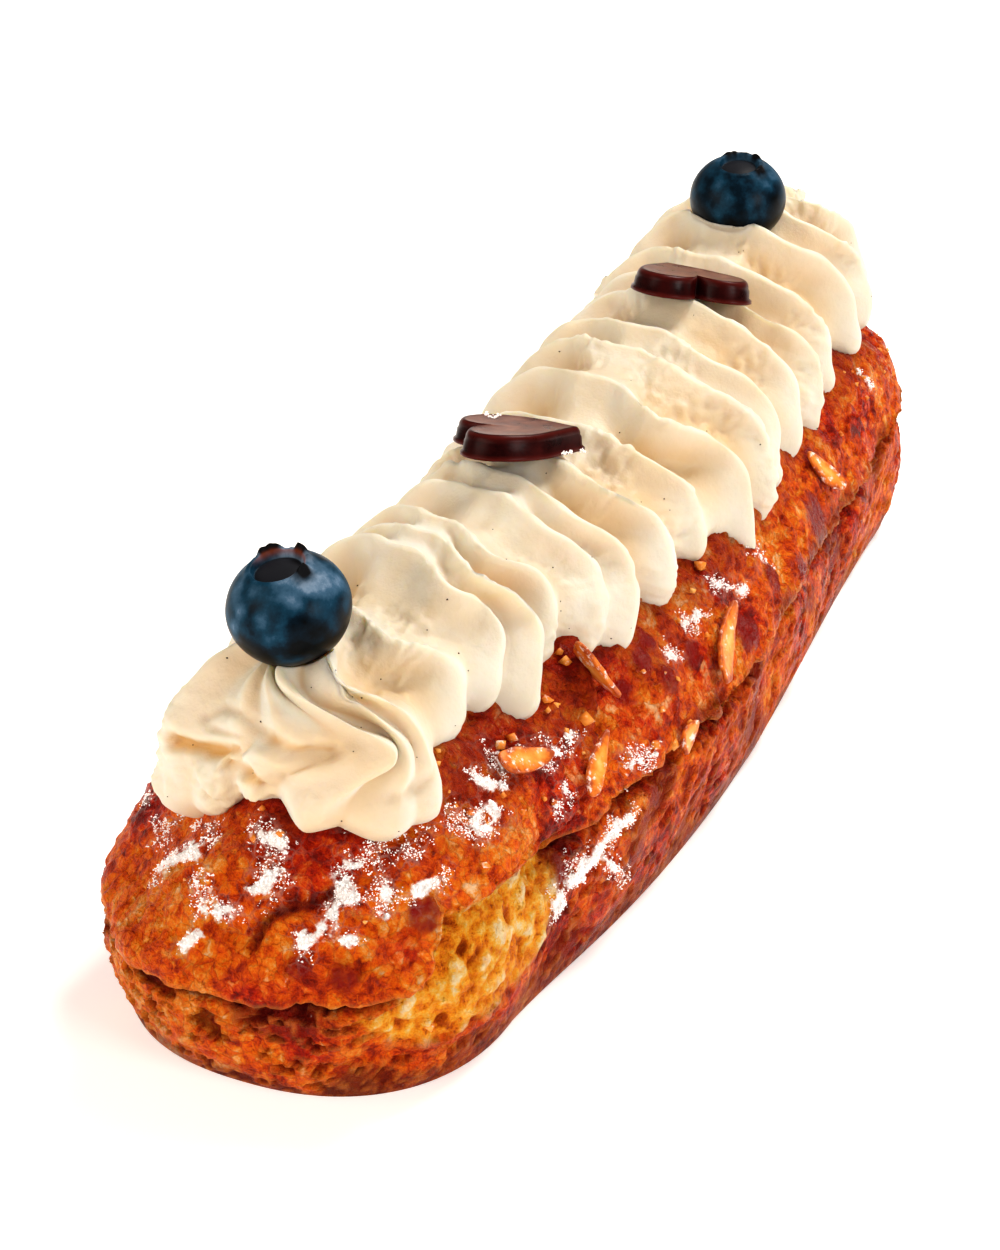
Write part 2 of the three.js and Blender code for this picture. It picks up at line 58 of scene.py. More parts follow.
# Bun
LENGTH = 163
WIDTH = 47
HEIGHT = 33
BELLY = 12.5  # height of the widest line
BASE_TUCK = 2
TOP_ROUND = 0.9
SIDE_POWER = 2
END_SLOPE = 0.65
LEFT_SLOPE = 0.45
NEAR_LEFT_SLOPE = 0.5
FAR_RIGHT_FULL = 0.2
END_SQUARE = 2.3
BOW = 5.5  # the bun bends this far to the right
BOW_MIDDLE = -12
BOW_SPREAD = 52
BOW_LEVEL = 0.37  # share of the bend that its ends lie to the left of the axis
NEAR_SLIM = 1.2
NEAR_SLIM_SPREAD = 16
LUMP = 0.6
SPINE = (LENGTH - WIDTH) / 2

# The crack where the dough rose
SEAM_HEIGHT = 14
SEAM_TILT = 2
SEAM_NEAR_DROP = 3.5
SEAM_DEPTH = 2.3
SEAM_BELOW = 2.4
SEAM_ABOVE = 0.9
LIP = 0.8
RAGGED = 0.45  # how far the lip wanders up and down

# The near cap of crust: its edge climbs the right side, over torn crumb first and then over a split
CAP_X = [-79, -75, -69, -50, -41, -33]
CAP_Z = [10.2, 12.5, 19.5, 19.5, 22.5, 30]
CAP_DROP = 1.7  # how far the crumb lies back under the edge
CAP_LIP = 0.7
CAP_FADE = 9  # the step fades out this far below the edge
CAP_SIDE = 7  # it starts this far right of the axis
CAP_FROM = -80
CAP_TO = -27
TORN_TO = -52  # torn crumb shows up to here
SHELF_X = [-78, -72, -62, -55, -50]  # lower border of the torn crumb
SHELF_Z = [9.5, 3.5, 2.5, 7, 13]
PIT = {"at": (-51, -22.5, 16.5), "wide": 4.0, "depth": 1.6}

# Cream
CREAM_FROM = -61
CREAM_TO = 64
CREST = 42.8
CREST_BUMP = 0.9  # each piped shell rises this far at its top
SHELL_PITCH = 23
NEAR_DIP = 1.6
FAR_DIP = -1.2
DIP_SPREAD = 9
LEFT_REACH = 14.3
LEFT_SWELL = 2.6  # the left side is fuller by this much at its middle
LEFT_WAIST = 2.0  # and slimmer by this much before that
HEART_DIP = 1.1  # the crest sinks this far under each heart
HEART_DIP_SPREAD = 8
SHOULDER = 0.8  # fuller than a circle where it is under 1
NEAR_SHOULDER = 0.2
FAR_SHOULDER = -0.3
VALLEY = 4.4  # depth of the hollows that the star nozzle leaves
CREST_VALLEY = 2.2
HOLLOW_FROM = 0.25  # the hollows are full from this share of the way down
ROLL_FROM = 0.84  # from here down the foot rolls under
ROLL_TURN = 1.35  # radians
FOOT_ROLL = 2.6
RIDGE_ROUND = 0.3  # radius of a ridge above its foot

# Toppings
BERRY = 6.15
BERRY_FLAT = 0.89
HEART = 15.2
HEART_THICK = 2.7
HEART_BEVEL = 0.9


def clamp01(v):
    return np.clip(v, 0, 1)


def bell(v):
    return np.exp(-np.square(v))


def blend(a, b, t):
    return a + (b - a) * t


def smooth(v):
    v = clamp01(v)
    return v * v * (3 - 2 * v)


def unit(v):
    return v / np.linalg.norm(v, axis=-1, keepdims=True)


# Seeded unevenness


def scatter(cell, seed):
    """Three even random numbers, -1 to 1, for each whole-numbered cell."""
    key = cell.astype(np.int64) @ np.array([73856093, 19349663, 83492791]) + seed * 7919
    found = []
    for k in range(3):
        h = (key + k * 1013904223).astype(np.uint32)
        h = (h ^ (h >> 16)) * np.uint32(0x45D9F3B)
        h = (h ^ (h >> 16)) * np.uint32(0x45D9F3B)
        found.append((h ^ (h >> 16)).astype(float) / 2**31 - 1)
    return np.stack(found, -1)


def rough(points, size, seed):
    """Smooth random height at each point, about -1 to 1, in lumps of that size (mm)."""
    q = points / size
    cell = np.floor(q)
    f = q - cell
    w = f**3 * (f * (f * 6 - 15) + 10)
    total = np.zeros(q.shape[:-1])
    for corner in product((0, 1), repeat=3):
        share = np.prod(np.where(corner, w, 1 - w), axis=-1)
        total += share * ((f - corner) * scatter(cell + corner, seed)).sum(-1)
    return 1.7 * total


def grains(points, size, seed):
    """Distance to the nearest and the next of points scattered that far apart, and the nearest's number."""
    q = points / size
    cell = np.floor(q)
    first = np.full(q.shape[:-1], 9.0)
    second = first.copy()
    which = np.zeros_like(first)
    for step in product((-1, 0, 1), repeat=3):
        draw = scatter(cell + step, seed)
        d = np.linalg.norm(q - cell - step - 0.5 - 0.45 * draw, axis=-1)
        nearer = d < first
        second = np.where(nearer, first, np.minimum(second, d))
        which = np.where(nearer, draw[..., 0], which)
        first = np.minimum(first, d)
    return first * size, second * size, which


# Bun


def midline(x):
    return BOW * (BOW_LEVEL - bell((x - BOW_MIDDLE) / BOW_SPREAD))


def half_width(along):
    return WIDTH / 2 - NEAR_SLIM * bell((along + SPINE) / NEAR_SLIM_SPREAD)


def lumps(p):
    x, y, z = p[..., 0], p[..., 1], p[..., 2]
    broad = 0.6 * np.sin(x * 0.23 + y * 0.11 + 1.0) * np.cos(z * 0.21 - y * 0.16)
    middle = 0.5 * np.sin(x * 0.41 - z * 0.35 + 2.0) * np.cos(y * 0.29 + 0.7)
    return LUMP * (broad + middle + 0.4 * np.sin(y * 0.47 + z * 0.43 - x * 0.13))


def seam_height(along, turn):
    near = np.maximum(0, -np.cos(turn))
    return SEAM_HEIGHT - SEAM_TILT * np.sin(turn) - SEAM_NEAR_DROP * near + 0.6 * np.sin(along / 9)


def seam_relief(along, turn, over):
    """How far the crust stands out from the smooth side: in at the crack, out at the lip over it."""
    right = np.maximum(0, -np.sin(turn))
    depth = SEAM_DEPTH * (0.45 + 0.75 * right) * (1 + 0.2 * np.sin(along / 7 + turn))
    below = -depth * clamp01(1 + over / SEAM_BELOW) ** 2.5
    lip = LIP * (0.45 + 0.55 * right)
    inside = blend(-depth, lip, over / SEAM_ABOVE)
    above = lip * bell((over - SEAM_ABOVE) / 4)
    return np.where(over <= 0, below, np.where(over <= SEAM_ABOVE, inside, above))


def cap_drop(p):
    """Height of the cap's edge over each point of the right side, and how much of the step shows there."""
    x = p[..., 0]
    under = np.interp(x, CAP_X, CAP_Z) - p[..., 2]
    across = smooth((-p[..., 1] - CAP_SIDE) / CAP_SIDE)
    share = across * smooth((x - CAP_FROM) / 4) * smooth((CAP_TO - x) / 6)
    return under, share


def cap_relief(p):
    under, share = cap_drop(p)
    back = -CAP_DROP * np.exp(-np.maximum(under, 0) / CAP_FADE) * smooth(under / 1.2)
    out = CAP_LIP * bell(np.minimum(under, 0) / 3) * (1 - smooth(under / 1.2))
    return share * (back + out)


def torn_share(p):
    """1 in the torn crumb of the near right corner."""
    x, z = p[..., 0], p[..., 2]
    under, share = cap_drop(p)
    low = smooth((z - np.interp(x, SHELF_X, SHELF_Z)) / 2.5)
    return share * smooth(under / 0.9) * low * smooth((TORN_TO - x) / 3 + 1)


def pit_share(p):
    return bell(np.linalg.norm(p - np.array(PIT["at"]), axis=-1) / PIT["wide"])


def shoulder_power(turn):
    """How full the shoulder is: 2 is a round, and less slopes more."""
    end = END_SLOPE * np.sqrt(np.abs(np.cos(turn)))
    near_left = NEAR_LEFT_SLOPE * 2.6 * np.maximum(0, np.sin(turn)) ** 2 * np.maximum(0, -np.cos(turn))
    far_right = FAR_RIGHT_FULL * 2 * np.maximum(0, -np.sin(turn)) * np.maximum(0, np.cos(turn))
    return SIDE_POWER - np.maximum(end, LEFT_SLOPE * np.sin(turn)) - near_left + far_right


def side_radius(half, turn, z):
    low = half - BASE_TUCK * np.square(1 - np.minimum(z, BELLY) / BELLY)
    rise = clamp01((z - BELLY) / (HEIGHT - BELLY))
    power = shoulder_power(turn)
    high = half * (1 - TOP_ROUND * (1 - (1 - rise**power) ** (1 / power)))
    return np.where(z < BELLY, low, high)


def top_height(out, turn):
    """Height of the smooth bun at a distance out from its middle line."""
    level = np.maximum(0, 1 - (1 - clamp01(2 * out / WIDTH)) / TOP_ROUND)
    power = shoulder_power(turn)
    return BELLY + (HEIGHT - BELLY) * clamp01(1 - level**power) ** (1 / power)


def signed_power(v, power):
    return np.sign(v) * np.abs(v) ** power


def bun_points(along, turn, z, inset, ragged=0.0):
    """Points of the crust before its fine relief, and how far each lies over the crack."""
    out = np.stack([signed_power(side, 2 / END_SQUARE) for side in (np.cos(turn), np.sin(turn))], -1)
    shift = seam_height(along, turn) + ragged - SEAM_HEIGHT
    lift = inset * shift * bell((z - SEAM_HEIGHT) / 8) * clamp01(z / 6)
    level = z + lift
    radius = side_radius(half_width(along), turn, level) * inset
    core = np.stack(np.broadcast_arrays(along, midline(along), BELLY + 0 * level), -1)
    point = np.stack(
        np.broadcast_arrays(along + out[..., 0] * radius, midline(along) + out[..., 1] * radius, level), -1
    )
    away = unit(point - core)
    over = z - SEAM_HEIGHT
    whole = 1 - torn_share(point)
    relief = lumps(point) + inset * whole * seam_relief(along, turn, over) + cap_relief(point)
    relief = relief - PIT["depth"] * pit_share(point)
    point = point + away * (relief * clamp01(z / 4))[..., None]
    point[..., 2] = np.where(z <= 0, 0, point[..., 2])
    return point, over


def normals_of(rings):
    """Outward directions of a skin of rings, rows up and columns round."""
    across = np.roll(rings, -1, 1) - np.roll(rings, 1, 1)
    up = np.gradient(rings, axis=0)
    normal = np.cross(across, up)
    return normal / np.maximum(np.linalg.norm(normal, axis=-1, keepdims=True), 1e-9)


def ring_faces(rows, columns):
    """Quads of a skin of rings, as numbers of its points."""
    at = np.arange(rows * columns).reshape(rows, columns)
    nxt = np.roll(at, -1, 1)
    return np.stack([at[:-1], nxt[:-1], nxt[1:], at[1:]], -1).reshape(-1, 4)


def in_part(points):
    """Points of the bun's own frame in mm, as a list of places in the part in metres."""
    return ((points.reshape(-1, 3) + BUN_TO_PART) * MM).tolist()


def add_mask(mesh, name, values):
    mesh.attributes.new(name, "FLOAT", "POINT").data.foreach_set("value", values.astype(np.float32).ravel())


def ring_mesh(name, rings, masks):
    """A closed mesh from rings of points in mm, with its masks as point attributes."""
    mesh = bpy.data.meshes.new(name)
    mesh.from_pydata(in_part(rings), [], ring_faces(*rings.shape[:2]).tolist())
    for mask, values in masks.items():
        add_mask(mesh, mask, np.broadcast_to(values, rings.shape[:2]))
    bm = bmesh.new()
    bm.from_mesh(mesh)
    bmesh.ops.remove_doubles(bm, verts=bm.verts, dist=2e-7)
    bmesh.ops.dissolve_degenerate(bm, edges=bm.edges, dist=1e-8)
    bm.to_mesh(mesh)
    bm.free()
    mesh.shade_smooth()
    return mesh


def sight_tree(rings):
    """A tree of a skin of rings for lines of sight."""
    return BVHTree.FromPolygons(in_part(rings), ring_faces(*rings.shape[:2]).tolist())


def piece(name, mesh, material, stands_for=()):
    """A finished piece that rides on the one body."""
    obj = bpy.data.objects.new(name, mesh)
    bpy.context.scene.collection.objects.link(obj)
    mesh.materials.clear()
    mesh.materials.append(material)
    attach(obj, "root")
    if stands_for:
        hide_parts(*stands_for)
    return obj


# Camera first, because sugar and blisters are placed through it

turn, rise = np.radians(VIEW_TURN), np.radians(VIEW_RISE)
view_back = np.array([np.sin(turn) * np.cos(rise), -np.cos(turn) * np.cos(rise), np.sin(rise)])
view_right = np.array([np.cos(turn), np.sin(turn), 0])
view_up = np.cross(view_back, view_right)
EYE = AIM + BUN_TO_PART + view_back * AIM_DISTANCE


def make_camera():
    data = bpy.data.cameras.new("photo_view")
    data.sensor_width = SENSOR
    data.lens = SENSOR * FOCAL_PIXELS / PHOTO[1]
    data.clip_start = 0.01
    camera = bpy.data.objects.new("photo_view", data)
    bpy.context.scene.collection.objects.link(camera)
    turned = Matrix(np.stack([view_right, view_up, view_back], 1).tolist())
    camera.matrix_world = Matrix.Translation(Vector(EYE * MM)) @ turned.to_4x4()
    bpy.context.scene.camera = camera


def seen_at(pixel, tree):
    """Where the line of sight through a photo pixel meets a mesh, in mm of the bun's own frame."""
    x = (pixel[0] - PHOTO[0] / 2) / FOCAL_PIXELS
    y = (PHOTO[1] / 2 - pixel[1]) / FOCAL_PIXELS
    sight = Vector(view_right * x + view_up * y - view_back).normalized()
    place = tree.ray_cast(Vector(EYE * MM), sight)[0]
    return None if place is None else np.array(place) / MM - BUN_TO_PART


# Shading


def srgb(code):
    """Linear colour of an sRGB hex value."""
    channels = [int(code[i : i + 2], 16) / 255 for i in (1, 3, 5)]
    return (*[c / 12.92 if c <= 0.04045 else ((c + 0.055) / 1.055) ** 2.4 for c in channels], 1)


def per_mm(size):
    """Texture scale that draws a pattern at that size in mm."""
    return 1 / (size * MM)


def put(tree, kind, settings, out=0):
    """Adds a shader node and gives one of its outputs. A setting is a value or another node's output for a
    socket, the stops of a ramp, or a property of the node."""
    node = tree.nodes.new("ShaderNode" + kind)
    for name, value in settings.items():
        if name == "stops":
            while len(node.color_ramp.elements) < len(value):
                node.color_ramp.elements.new(1)
            for element, (place, colour) in zip(node.color_ramp.elements, value):
                element.position = place
                element.color = srgb(colour)
        elif isinstance(value, bpy.types.NodeSocket):
            tree.links.new(value, node.inputs[name])
        elif isinstance(name, int) or name in node.inputs:
            node.inputs[name].default_value = value
        else:
            setattr(node, name, value)
    return node.outputs[out] if node.outputs else None


def make_material(recipe):
    """The material of a recipe, which draws its patterns and gives what the surface takes from them."""
    material = bpy.data.materials.new(recipe.__name__)
    material.use_nodes = True
    tree = material.node_tree
    tree.nodes.clear()
    where = put(tree, "TexCoord", {}, "Object")
    surface = put(tree, "BsdfPrincipled", recipe(tree, where))
    put(tree, "OutputMaterial", {"Surface": surface})
    return material


ADD_SHARE = {"operation": "MULTIPLY_ADD"}  # the first input times the second, added to the third
SOFT_STEP = {"interpolation_type": "SMOOTHSTEP"}
CRUST_MASKS = ["torn", "toasted", "raised", "crevice", "lit_edge", "smooth_strip"]
CRUST_MASKS += ["pale", "strand", "sugar", "dust", "blister"]


def baked_choux_crust(tree, where):
    """Choux pastry, baked brown: a dry mottled skin with glossy blisters, pale where it tore, and sugared."""
    mask = {name: put(tree, "Attribute", {"attribute_name": name}, "Fac") for name in CRUST_MASKS}

    # Granules of crisp skin, about 1.3 mm: each has its own brown, and fine dark lines run between them
    bend = put(tree, "TexNoise", {"Scale": per_mm(1.2), "Detail": 3, "Vector": where}, "Color")
    bent = put(tree, "VectorMath", {**ADD_SHARE, 0: bend, 1: (1.2 * MM,) * 3, 2: where})
    granules = {"Scale": per_mm(1.3), "Vector": bent}
    granule = put(tree, "TexVoronoi", granules, "Color")
    gap = put(tree, "TexVoronoi", {"feature": "DISTANCE_TO_EDGE", **granules})
    crackle = put(tree, "MapRange", {"Value": gap, "From Min": 0.1, "From Max": 0.0, "To Max": 0.3})

    # Browning in 2.6 mm patches, darker where the skin stands up, and on 1 mm crumbs painted highlight and
    # shade
    patches = {"Scale": per_mm(2.6), "Detail": 9, "Roughness": 0.82, "Distortion": 0.4}
    patch = put(tree, "TexNoise", {**patches, "Vector": where})
    crumbs = {"Scale": per_mm(1.0), "Detail": 4, "Roughness": 0.62, "Distortion": 0.3}
    crumbly = put(tree, "TexNoise", {**crumbs, "Vector": where})
    crumb_top_light_pit_shade = put(tree, "Math", {"operation": "SUBTRACT", 0: crumbly, 1: 0.5})
    baked = patch
    for part, share in ((granule, 0.18), (mask["raised"], -0.13), (mask["pale"], 0.08), (crumb_top_light_pit_shade, 0.5)):
        baked = put(tree, "Math", {**ADD_SHARE, 0: part, 1: share, 2: baked})
    levels = (0.34, 0.44, 0.52, 0.60, 0.68, 0.80)
    golden = zip(levels, ("#8a1e06", "#cc4205", "#ec6006", "#f67a10", "#fb9c36", "#fed0a0"))
    golden = put(tree, "ValToRGB", {"stops": list(golden), "Fac": baked})
    fired = zip(levels, ("#640a04", "#8e1204", "#bc2405", "#de400a", "#f06a1c", "#fcb47c"))
    fired = put(tree, "ValToRGB", {"stops": list(fired), "Fac": baked})

    # The oven browns it unevenly, in fields of about 9 mm; the pale mask, with painted light on the near end,
    # makes it golden
    field = put(tree, "TexNoise", {"Scale": per_mm(9), "Detail": 3, "Vector": where})
    light_bake = put(tree, "Math", {**ADD_SHARE, 0: mask["pale"], 1: 0.25, 2: field})
    light_bake = put(tree, "MapRange", {"Value": light_bake, "From Min": 0.44, "From Max": 0.58})

    # Torn crumb: pale yellow, browned along its ridges
    crumb = put(tree, "TexNoise", {"Scale": per_mm(2.0), "Detail": 7, "Roughness": 0.75, "Vector": where})
    crumb = put(tree, "Math", {**ADD_SHARE, 0: mask["strand"], 1: 0.4, 2: crumb})
    yellows = [(0.34, "#bc540a"), (0.43, "#ee8212"), (0.51, "#ffa622"), (0.59, "#ffc450"), (0.70, "#ffe6b4")]
    crumb = put(tree, "ValToRGB", {"stops": yellows, "Fac": crumb})

    # Pinholes about 1 mm across, drawn only as dark spots: painted shade in the holes
    hole = put(tree, "TexNoise", {"Scale": per_mm(1.0), "Detail": 3, "Roughness": 0.6, "Vector": where})
    dark = {**SOFT_STEP, "From Min": 0.38, "From Max": 0.30, "To Max": 0.42}
    hole = put(tree, "MapRange", {**dark, "Value": hole})

    # Icing sugar: a film that breaks up into grains, drawn at 0.7 mm because real ones are too fine to show,
    # and dust in the lines between the granules
    grain = put(tree, "TexNoise", {"Scale": per_mm(0.7), "Detail": 4, "Roughness": 0.75, "Vector": where})
    film = grain
    for part, share in ((crumbly, 2.4), (mask["sugar"], 1.5)):
        film = put(tree, "Math", {**ADD_SHARE, 0: part, 1: share, 2: film})
    film = put(tree, "MapRange", {**SOFT_STEP, "Value": film, "From Min": 2.2, "From Max": 2.85})
    lines = put(tree, "MapRange", {"Value": gap, "From Min": 0.17, "From Max": 0.02})
    lines = put(tree, "Math", {**ADD_SHARE, 0: crumbly, 1: 1.6, 2: lines})
    lines = put(tree, "MapRange", {"Value": lines, "From Min": 1.1, "From Max": 1.6})
    lines = put(tree, "Math", {"operation": "MULTIPLY", "use_clamp": True, 0: lines, 1: mask["dust"]})

    layers = [
        (light_bake, golden),
        # toasted: brown patches, and painted shade on the top by the cream's foot
        (mask["toasted"], srgb("#86200a")),
        (crackle, srgb("#7a1a08")),
        (mask["torn"], crumb),
        # pinholes: painted shade
        (hole, srgb("#561605")),
        (mask["blister"], srgb("#8e140c")),
        (mask["smooth_strip"], srgb("#6e3018")),
        (mask["lit_edge"], srgb("#f29440")),
        # painted shade in the crack, pit, pores and the line cut into the top
        (mask["crevice"], srgb("#5c0e08")),
        (lines, srgb("#ffe6da")),
        (film, srgb("#fffaf7")),
    ]
    colour = fired
    for cover, shade in layers:
        colour = put(tree, "MixRGB", {"Fac": cover, "Color1": colour, "Color2": shade})
    dry = {"From Min": 0.35, "From Max": 0.65, "To Min": 0.26, "To Max": 0.46}
    gloss = put(tree, "MapRange", {**dry, "Value": field})
    gloss = put(tree, "Math", {**ADD_SHARE, 0: mask["blister"], 1: -0.2, 2: gloss})
    gloss = put(tree, "Math", {**ADD_SHARE, "use_clamp": True, 0: film, 1: 0.5, 2: gloss})
    height = patch
    for part, share in ((crumbly, 2.0), (grain, 0.6), (crackle, -0.5)):
        height = put(tree, "Math", {**ADD_SHARE, 0: part, 1: share, 2: height})
    return {
        "Base Color": colour,
        "Roughness": gloss,
        "IOR": 1.45,
        "Specular IOR Level": 0.16,
        "Normal": put(tree, "Bump", {"Strength": 1.0, "Distance": 0.6 * MM, "Height": height}),
        # Painted glow: the sugar film gives off a little white light of its own
        "Emission Color": srgb("#fff4ee"),
        "Emission Strength": put(tree, "Math", {"operation": "MULTIPLY", 0: film, 1: 0.14}),
    }


def whipped_vanilla_cream(tree, where):
    """Whipped vanilla cream, piped: a dense satin foam with tiny pores that light soaks into."""
    # The hollow mask is painted shade: tan where the cream faces away from the key light, in its hollows and
    # creases
    hollow = put(tree, "Attribute", {"attribute_name": "hollow"}, "Fac")
    cloud = put(tree, "TexNoise", {"Scale": per_mm(9), "Detail": 3, "Vector": where})
    colour = put(tree, "ValToRGB", {"stops": [(0.35, "#dcd5c1"), (0.65, "#e3dfd1")], "Fac": cloud})
    pores = put(tree, "TexNoise", {"Scale": per_mm(0.9), "Detail": 5, "Roughness": 0.6, "Vector": where})
    return {
        "Base Color": put(tree, "MixRGB", {"Fac": hollow, "Color1": colour, "Color2": srgb("#d6ac6e")}),
        "Roughness": 0.5,
        "IOR": 1.45,
        "Normal": put(tree, "Bump", {"Strength": 0.5, "Distance": 0.25 * MM, "Height": pores}),
        "Subsurface Weight": 0.4,
        "Subsurface Radius": (2.8 * MM, 1.9 * MM, 0.9 * MM),
        "Subsurface Scale": 1.0,
    }


def waxy_berry_skin(tree, where):
    """Blue berry skin: near black and smooth, under a pale blue bloom of wax that handling rubs off, painted
    lighter on top.
    """
    names = ("bloom", "calyx", "floor", "scar")
    bloom, calyx, floor, scar = [put(tree, "Attribute", {"attribute_name": name}, "Fac") for name in names]
    rubbed = put(tree, "TexNoise", {"Scale": per_mm(1.4), "Detail": 6, "Roughness": 0.65, "Vector": where})
    # the bloom mask is wax bloom with painted light on the top
    film = put(tree, "Math", {**ADD_SHARE, 0: rubbed, 1: 0.5, 2: bloom})
    blues = [(0.30, "#03070b"), (0.48, "#081c29"), (0.66, "#143b50"), (0.86, "#41617a"), (1.0, "#788ea4")]
    colour = put(tree, "ValToRGB", {"stops": blues, "Fac": film})
    for cover, shade in ((calyx, "#0d0e12"), (floor, "#22242a"), (scar, "#94482a")):
        colour = put(tree, "MixRGB", {"Fac": cover, "Color1": colour, "Color2": srgb(shade)})
    satin = {"From Min": 0.4, "From Max": 0.9, "To Min": 0.3, "To Max": 0.55}
    gloss = put(tree, "MapRange", {**satin, "Value": film})
    return {"Base Color": colour, "Roughness": gloss, "IOR": 1.4, "Specular IOR Level": 0.12}


def moulded_dark_chocolate(tree, where):
    """Tempered dark chocolate, moulded: a hard red-brown satin, grey on top from scuffs and painted
    reflection, redder at its rim.
    """
    # The top's greys are scuffs with a painted reflection of the sky; the rim mask adds a painted highlight on
    # the top edge
    rim, upper = [put(tree, "Attribute", {"attribute_name": name}, "Fac") for name in ("rim", "upper")]
    scuff = put(tree, "TexNoise", {"Scale": per_mm(2.2), "Detail": 6, "Roughness": 0.6, "Vector": where})
    colour = put(tree, "ValToRGB", {"stops": [(0.35, "#1c0203"), (0.7, "#380807")], "Fac": scuff})
    greys = [(0.3, "#4e2c26"), (0.5, "#744c42"), (0.7, "#9a7264")]
    scuffed = put(tree, "ValToRGB", {"stops": greys, "Fac": scuff})
    for cover, shade in ((upper, scuffed), (rim, srgb("#5c1a14"))):
        colour = put(tree, "MixRGB", {"Fac": cover, "Color1": colour, "Color2": shade})
    satin = {"From Min": 0.3, "From Max": 0.7, "To Min": 0.24, "To Max": 0.4}
    return {
        "Base Color": colour,
        "Roughness": put(tree, "MapRange", {**satin, "Value": scuff}),
        "IOR": 1.46,
        "Specular IOR Level": 0.13,
        "Normal": put(tree, "Bump", {"Strength": 0.2, "Distance": 0.2 * MM, "Height": scuff}),
    }


def toasted_almond(tree, where):
    """Sliced almond, toasted: a dry pale flesh that browns from its edges in, oily, with specks of sugar."""
    tone = put(tree, "Attribute", {"attribute_name": "tone"}, "Fac")
    streak = put(tree, "TexNoise", {"Scale": per_mm(1.6), "Detail": 5, "Roughness": 0.6, "Vector": where})
    brown = put(tree, "Math", {**ADD_SHARE, 0: tone, 1: 0.45, 2: streak})
    nut_browns = [(0.40, "#f6bc6c"), (0.66, "#ee9a3e"), (0.88, "#dc7420"), (1.0, "#a8481a")]
    colour = put(tree, "ValToRGB", {"stops": nut_browns, "Fac": brown})
    dusted = put(tree, "TexNoise", {"Scale": per_mm(1.1), "Detail": 5, "Roughness": 0.7, "Vector": where})
    dusted = put(tree, "MapRange", {"Value": dusted, "From Min": 0.56, "From Max": 0.64, "To Max": 0.85})
    return {
        "Base Color": put(tree, "MixRGB", {"Fac": dusted, "Color1": colour, "Color2": srgb("#fff4ec")}),
        "Roughness": 0.42,
        "IOR": 1.47,
        "Specular IOR Level": 0.35,
        "Normal": put(tree, "Bump", {"Strength": 0.3, "Distance": 0.2 * MM, "Height": streak}),
    }


def dusted_icing_sugar(tree, where):
    """Icing sugar, sifted on: a dead matt white powder, with a painted glow of its own light so that it stays
    white.
    """
    damp = put(tree, "TexNoise", {"Scale": per_mm(3), "Detail": 3, "Vector": where})
    return {
        "Base Color": put(tree, "ValToRGB", {"stops": [(0.3, "#fbf2ee"), (0.6, "#ffffff")], "Fac": damp}),
        "Roughness": 0.9,
        "IOR": 1.5,
        # Painted glow
        "Emission Color": srgb("#fff4ee"),
        "Emission Strength": 0.22,
    }


def vanilla_seed(tree, where):
    """Vanilla seeds, scraped from the pod: tiny black-brown dry grains."""
    mottle = put(tree, "TexNoise", {"Scale": per_mm(0.3), "Detail": 2, "Vector": where})
    colour = put(tree, "ValToRGB", {"stops": [(0.3, "#1c0f08"), (0.7, "#4a2c18")], "Fac": mottle})
    return {"Base Color": colour, "Roughness": 0.6, "IOR": 1.45}


def white_card(tree, where):
    """Matt white card, lit from behind a little, so that it stays pale under the eclair."""
    white = srgb("#fbfaf8")
    return {"Base Color": white, "Roughness": 0.9, "Emission Color": (1, 1, 1, 1), "Emission Strength": 0.34}


# Bun skin

# Icing sugar in strokes of the photo's pixels: from, to, half width in mm, and how thick, from 0 to 1
SUGAR_SEEN = [
    ((165, 867), (201, 848), 1.4, 1.0),
    ((165, 815), (200, 832), 2.6, 0.6),
    ((200, 875), (206, 894), 0.9, 1.0),
    ((206, 903), (230, 914), 1.0, 1.0),
    ((198, 934), (184, 944), 0.7, 1.0),
    ((258, 836), (282, 842), 0.9, 0.9),
    ((277, 845), (284, 852), 0.6, 0.8),
    ((275, 872), (262, 884), 1.2, 1.0),
    ((250, 886), (254, 887), 0.5, 0.9),
    ((338, 872), (350, 897), 1.2, 1.0),
    ((345, 868), (360, 867), 0.9, 0.9),
    ((386, 888), (388, 900), 0.9, 1.0),
    ((417, 893), (436, 879), 0.8, 1.0),
    ((380, 913), (384, 915), 0.6, 1.0),
    ((329, 906), (332, 914), 0.7, 0.9),
    ((306, 940), (310, 938), 0.9, 1.0),
    ((325, 933), (333, 929), 1.1, 1.0),
    ((347, 937), (352, 938), 0.9, 1.0),
    ((360, 855), (420, 872), 2.2, 0.6),
    ((440, 845), (468, 820), 2.4, 0.6),
    ((495, 763), (545, 758), 1.2, 1.0),
    ((556, 750), (572, 735), 1.1, 0.85),
    ((478, 778), (500, 786), 1.1, 1.0),
    ((492, 812), (478, 832), 1.2, 0.95),
    ((563, 790), (556, 806), 0.6, 1.0),
    ((557, 902), (596, 853), 1.5, 1.1),
    ((600, 846), (626, 820), 0.9, 1.0),
    ((601, 851), (622, 884), 0.45, 0.9),
    ((634, 766), (654, 752), 0.8, 0.9),
    ((630, 775), (624, 800), 0.7, 0.65),
    ((686, 626), (698, 614), 0.8, 0.9),
    ((671, 655), (674, 656), 0.8, 0.8),
    ((712, 584), (750, 592), 0.7, 0.65),
    ((752, 553), (765, 560), 0.8, 0.65),
    ((858, 372), (866, 388), 0.9, 0.7),
]
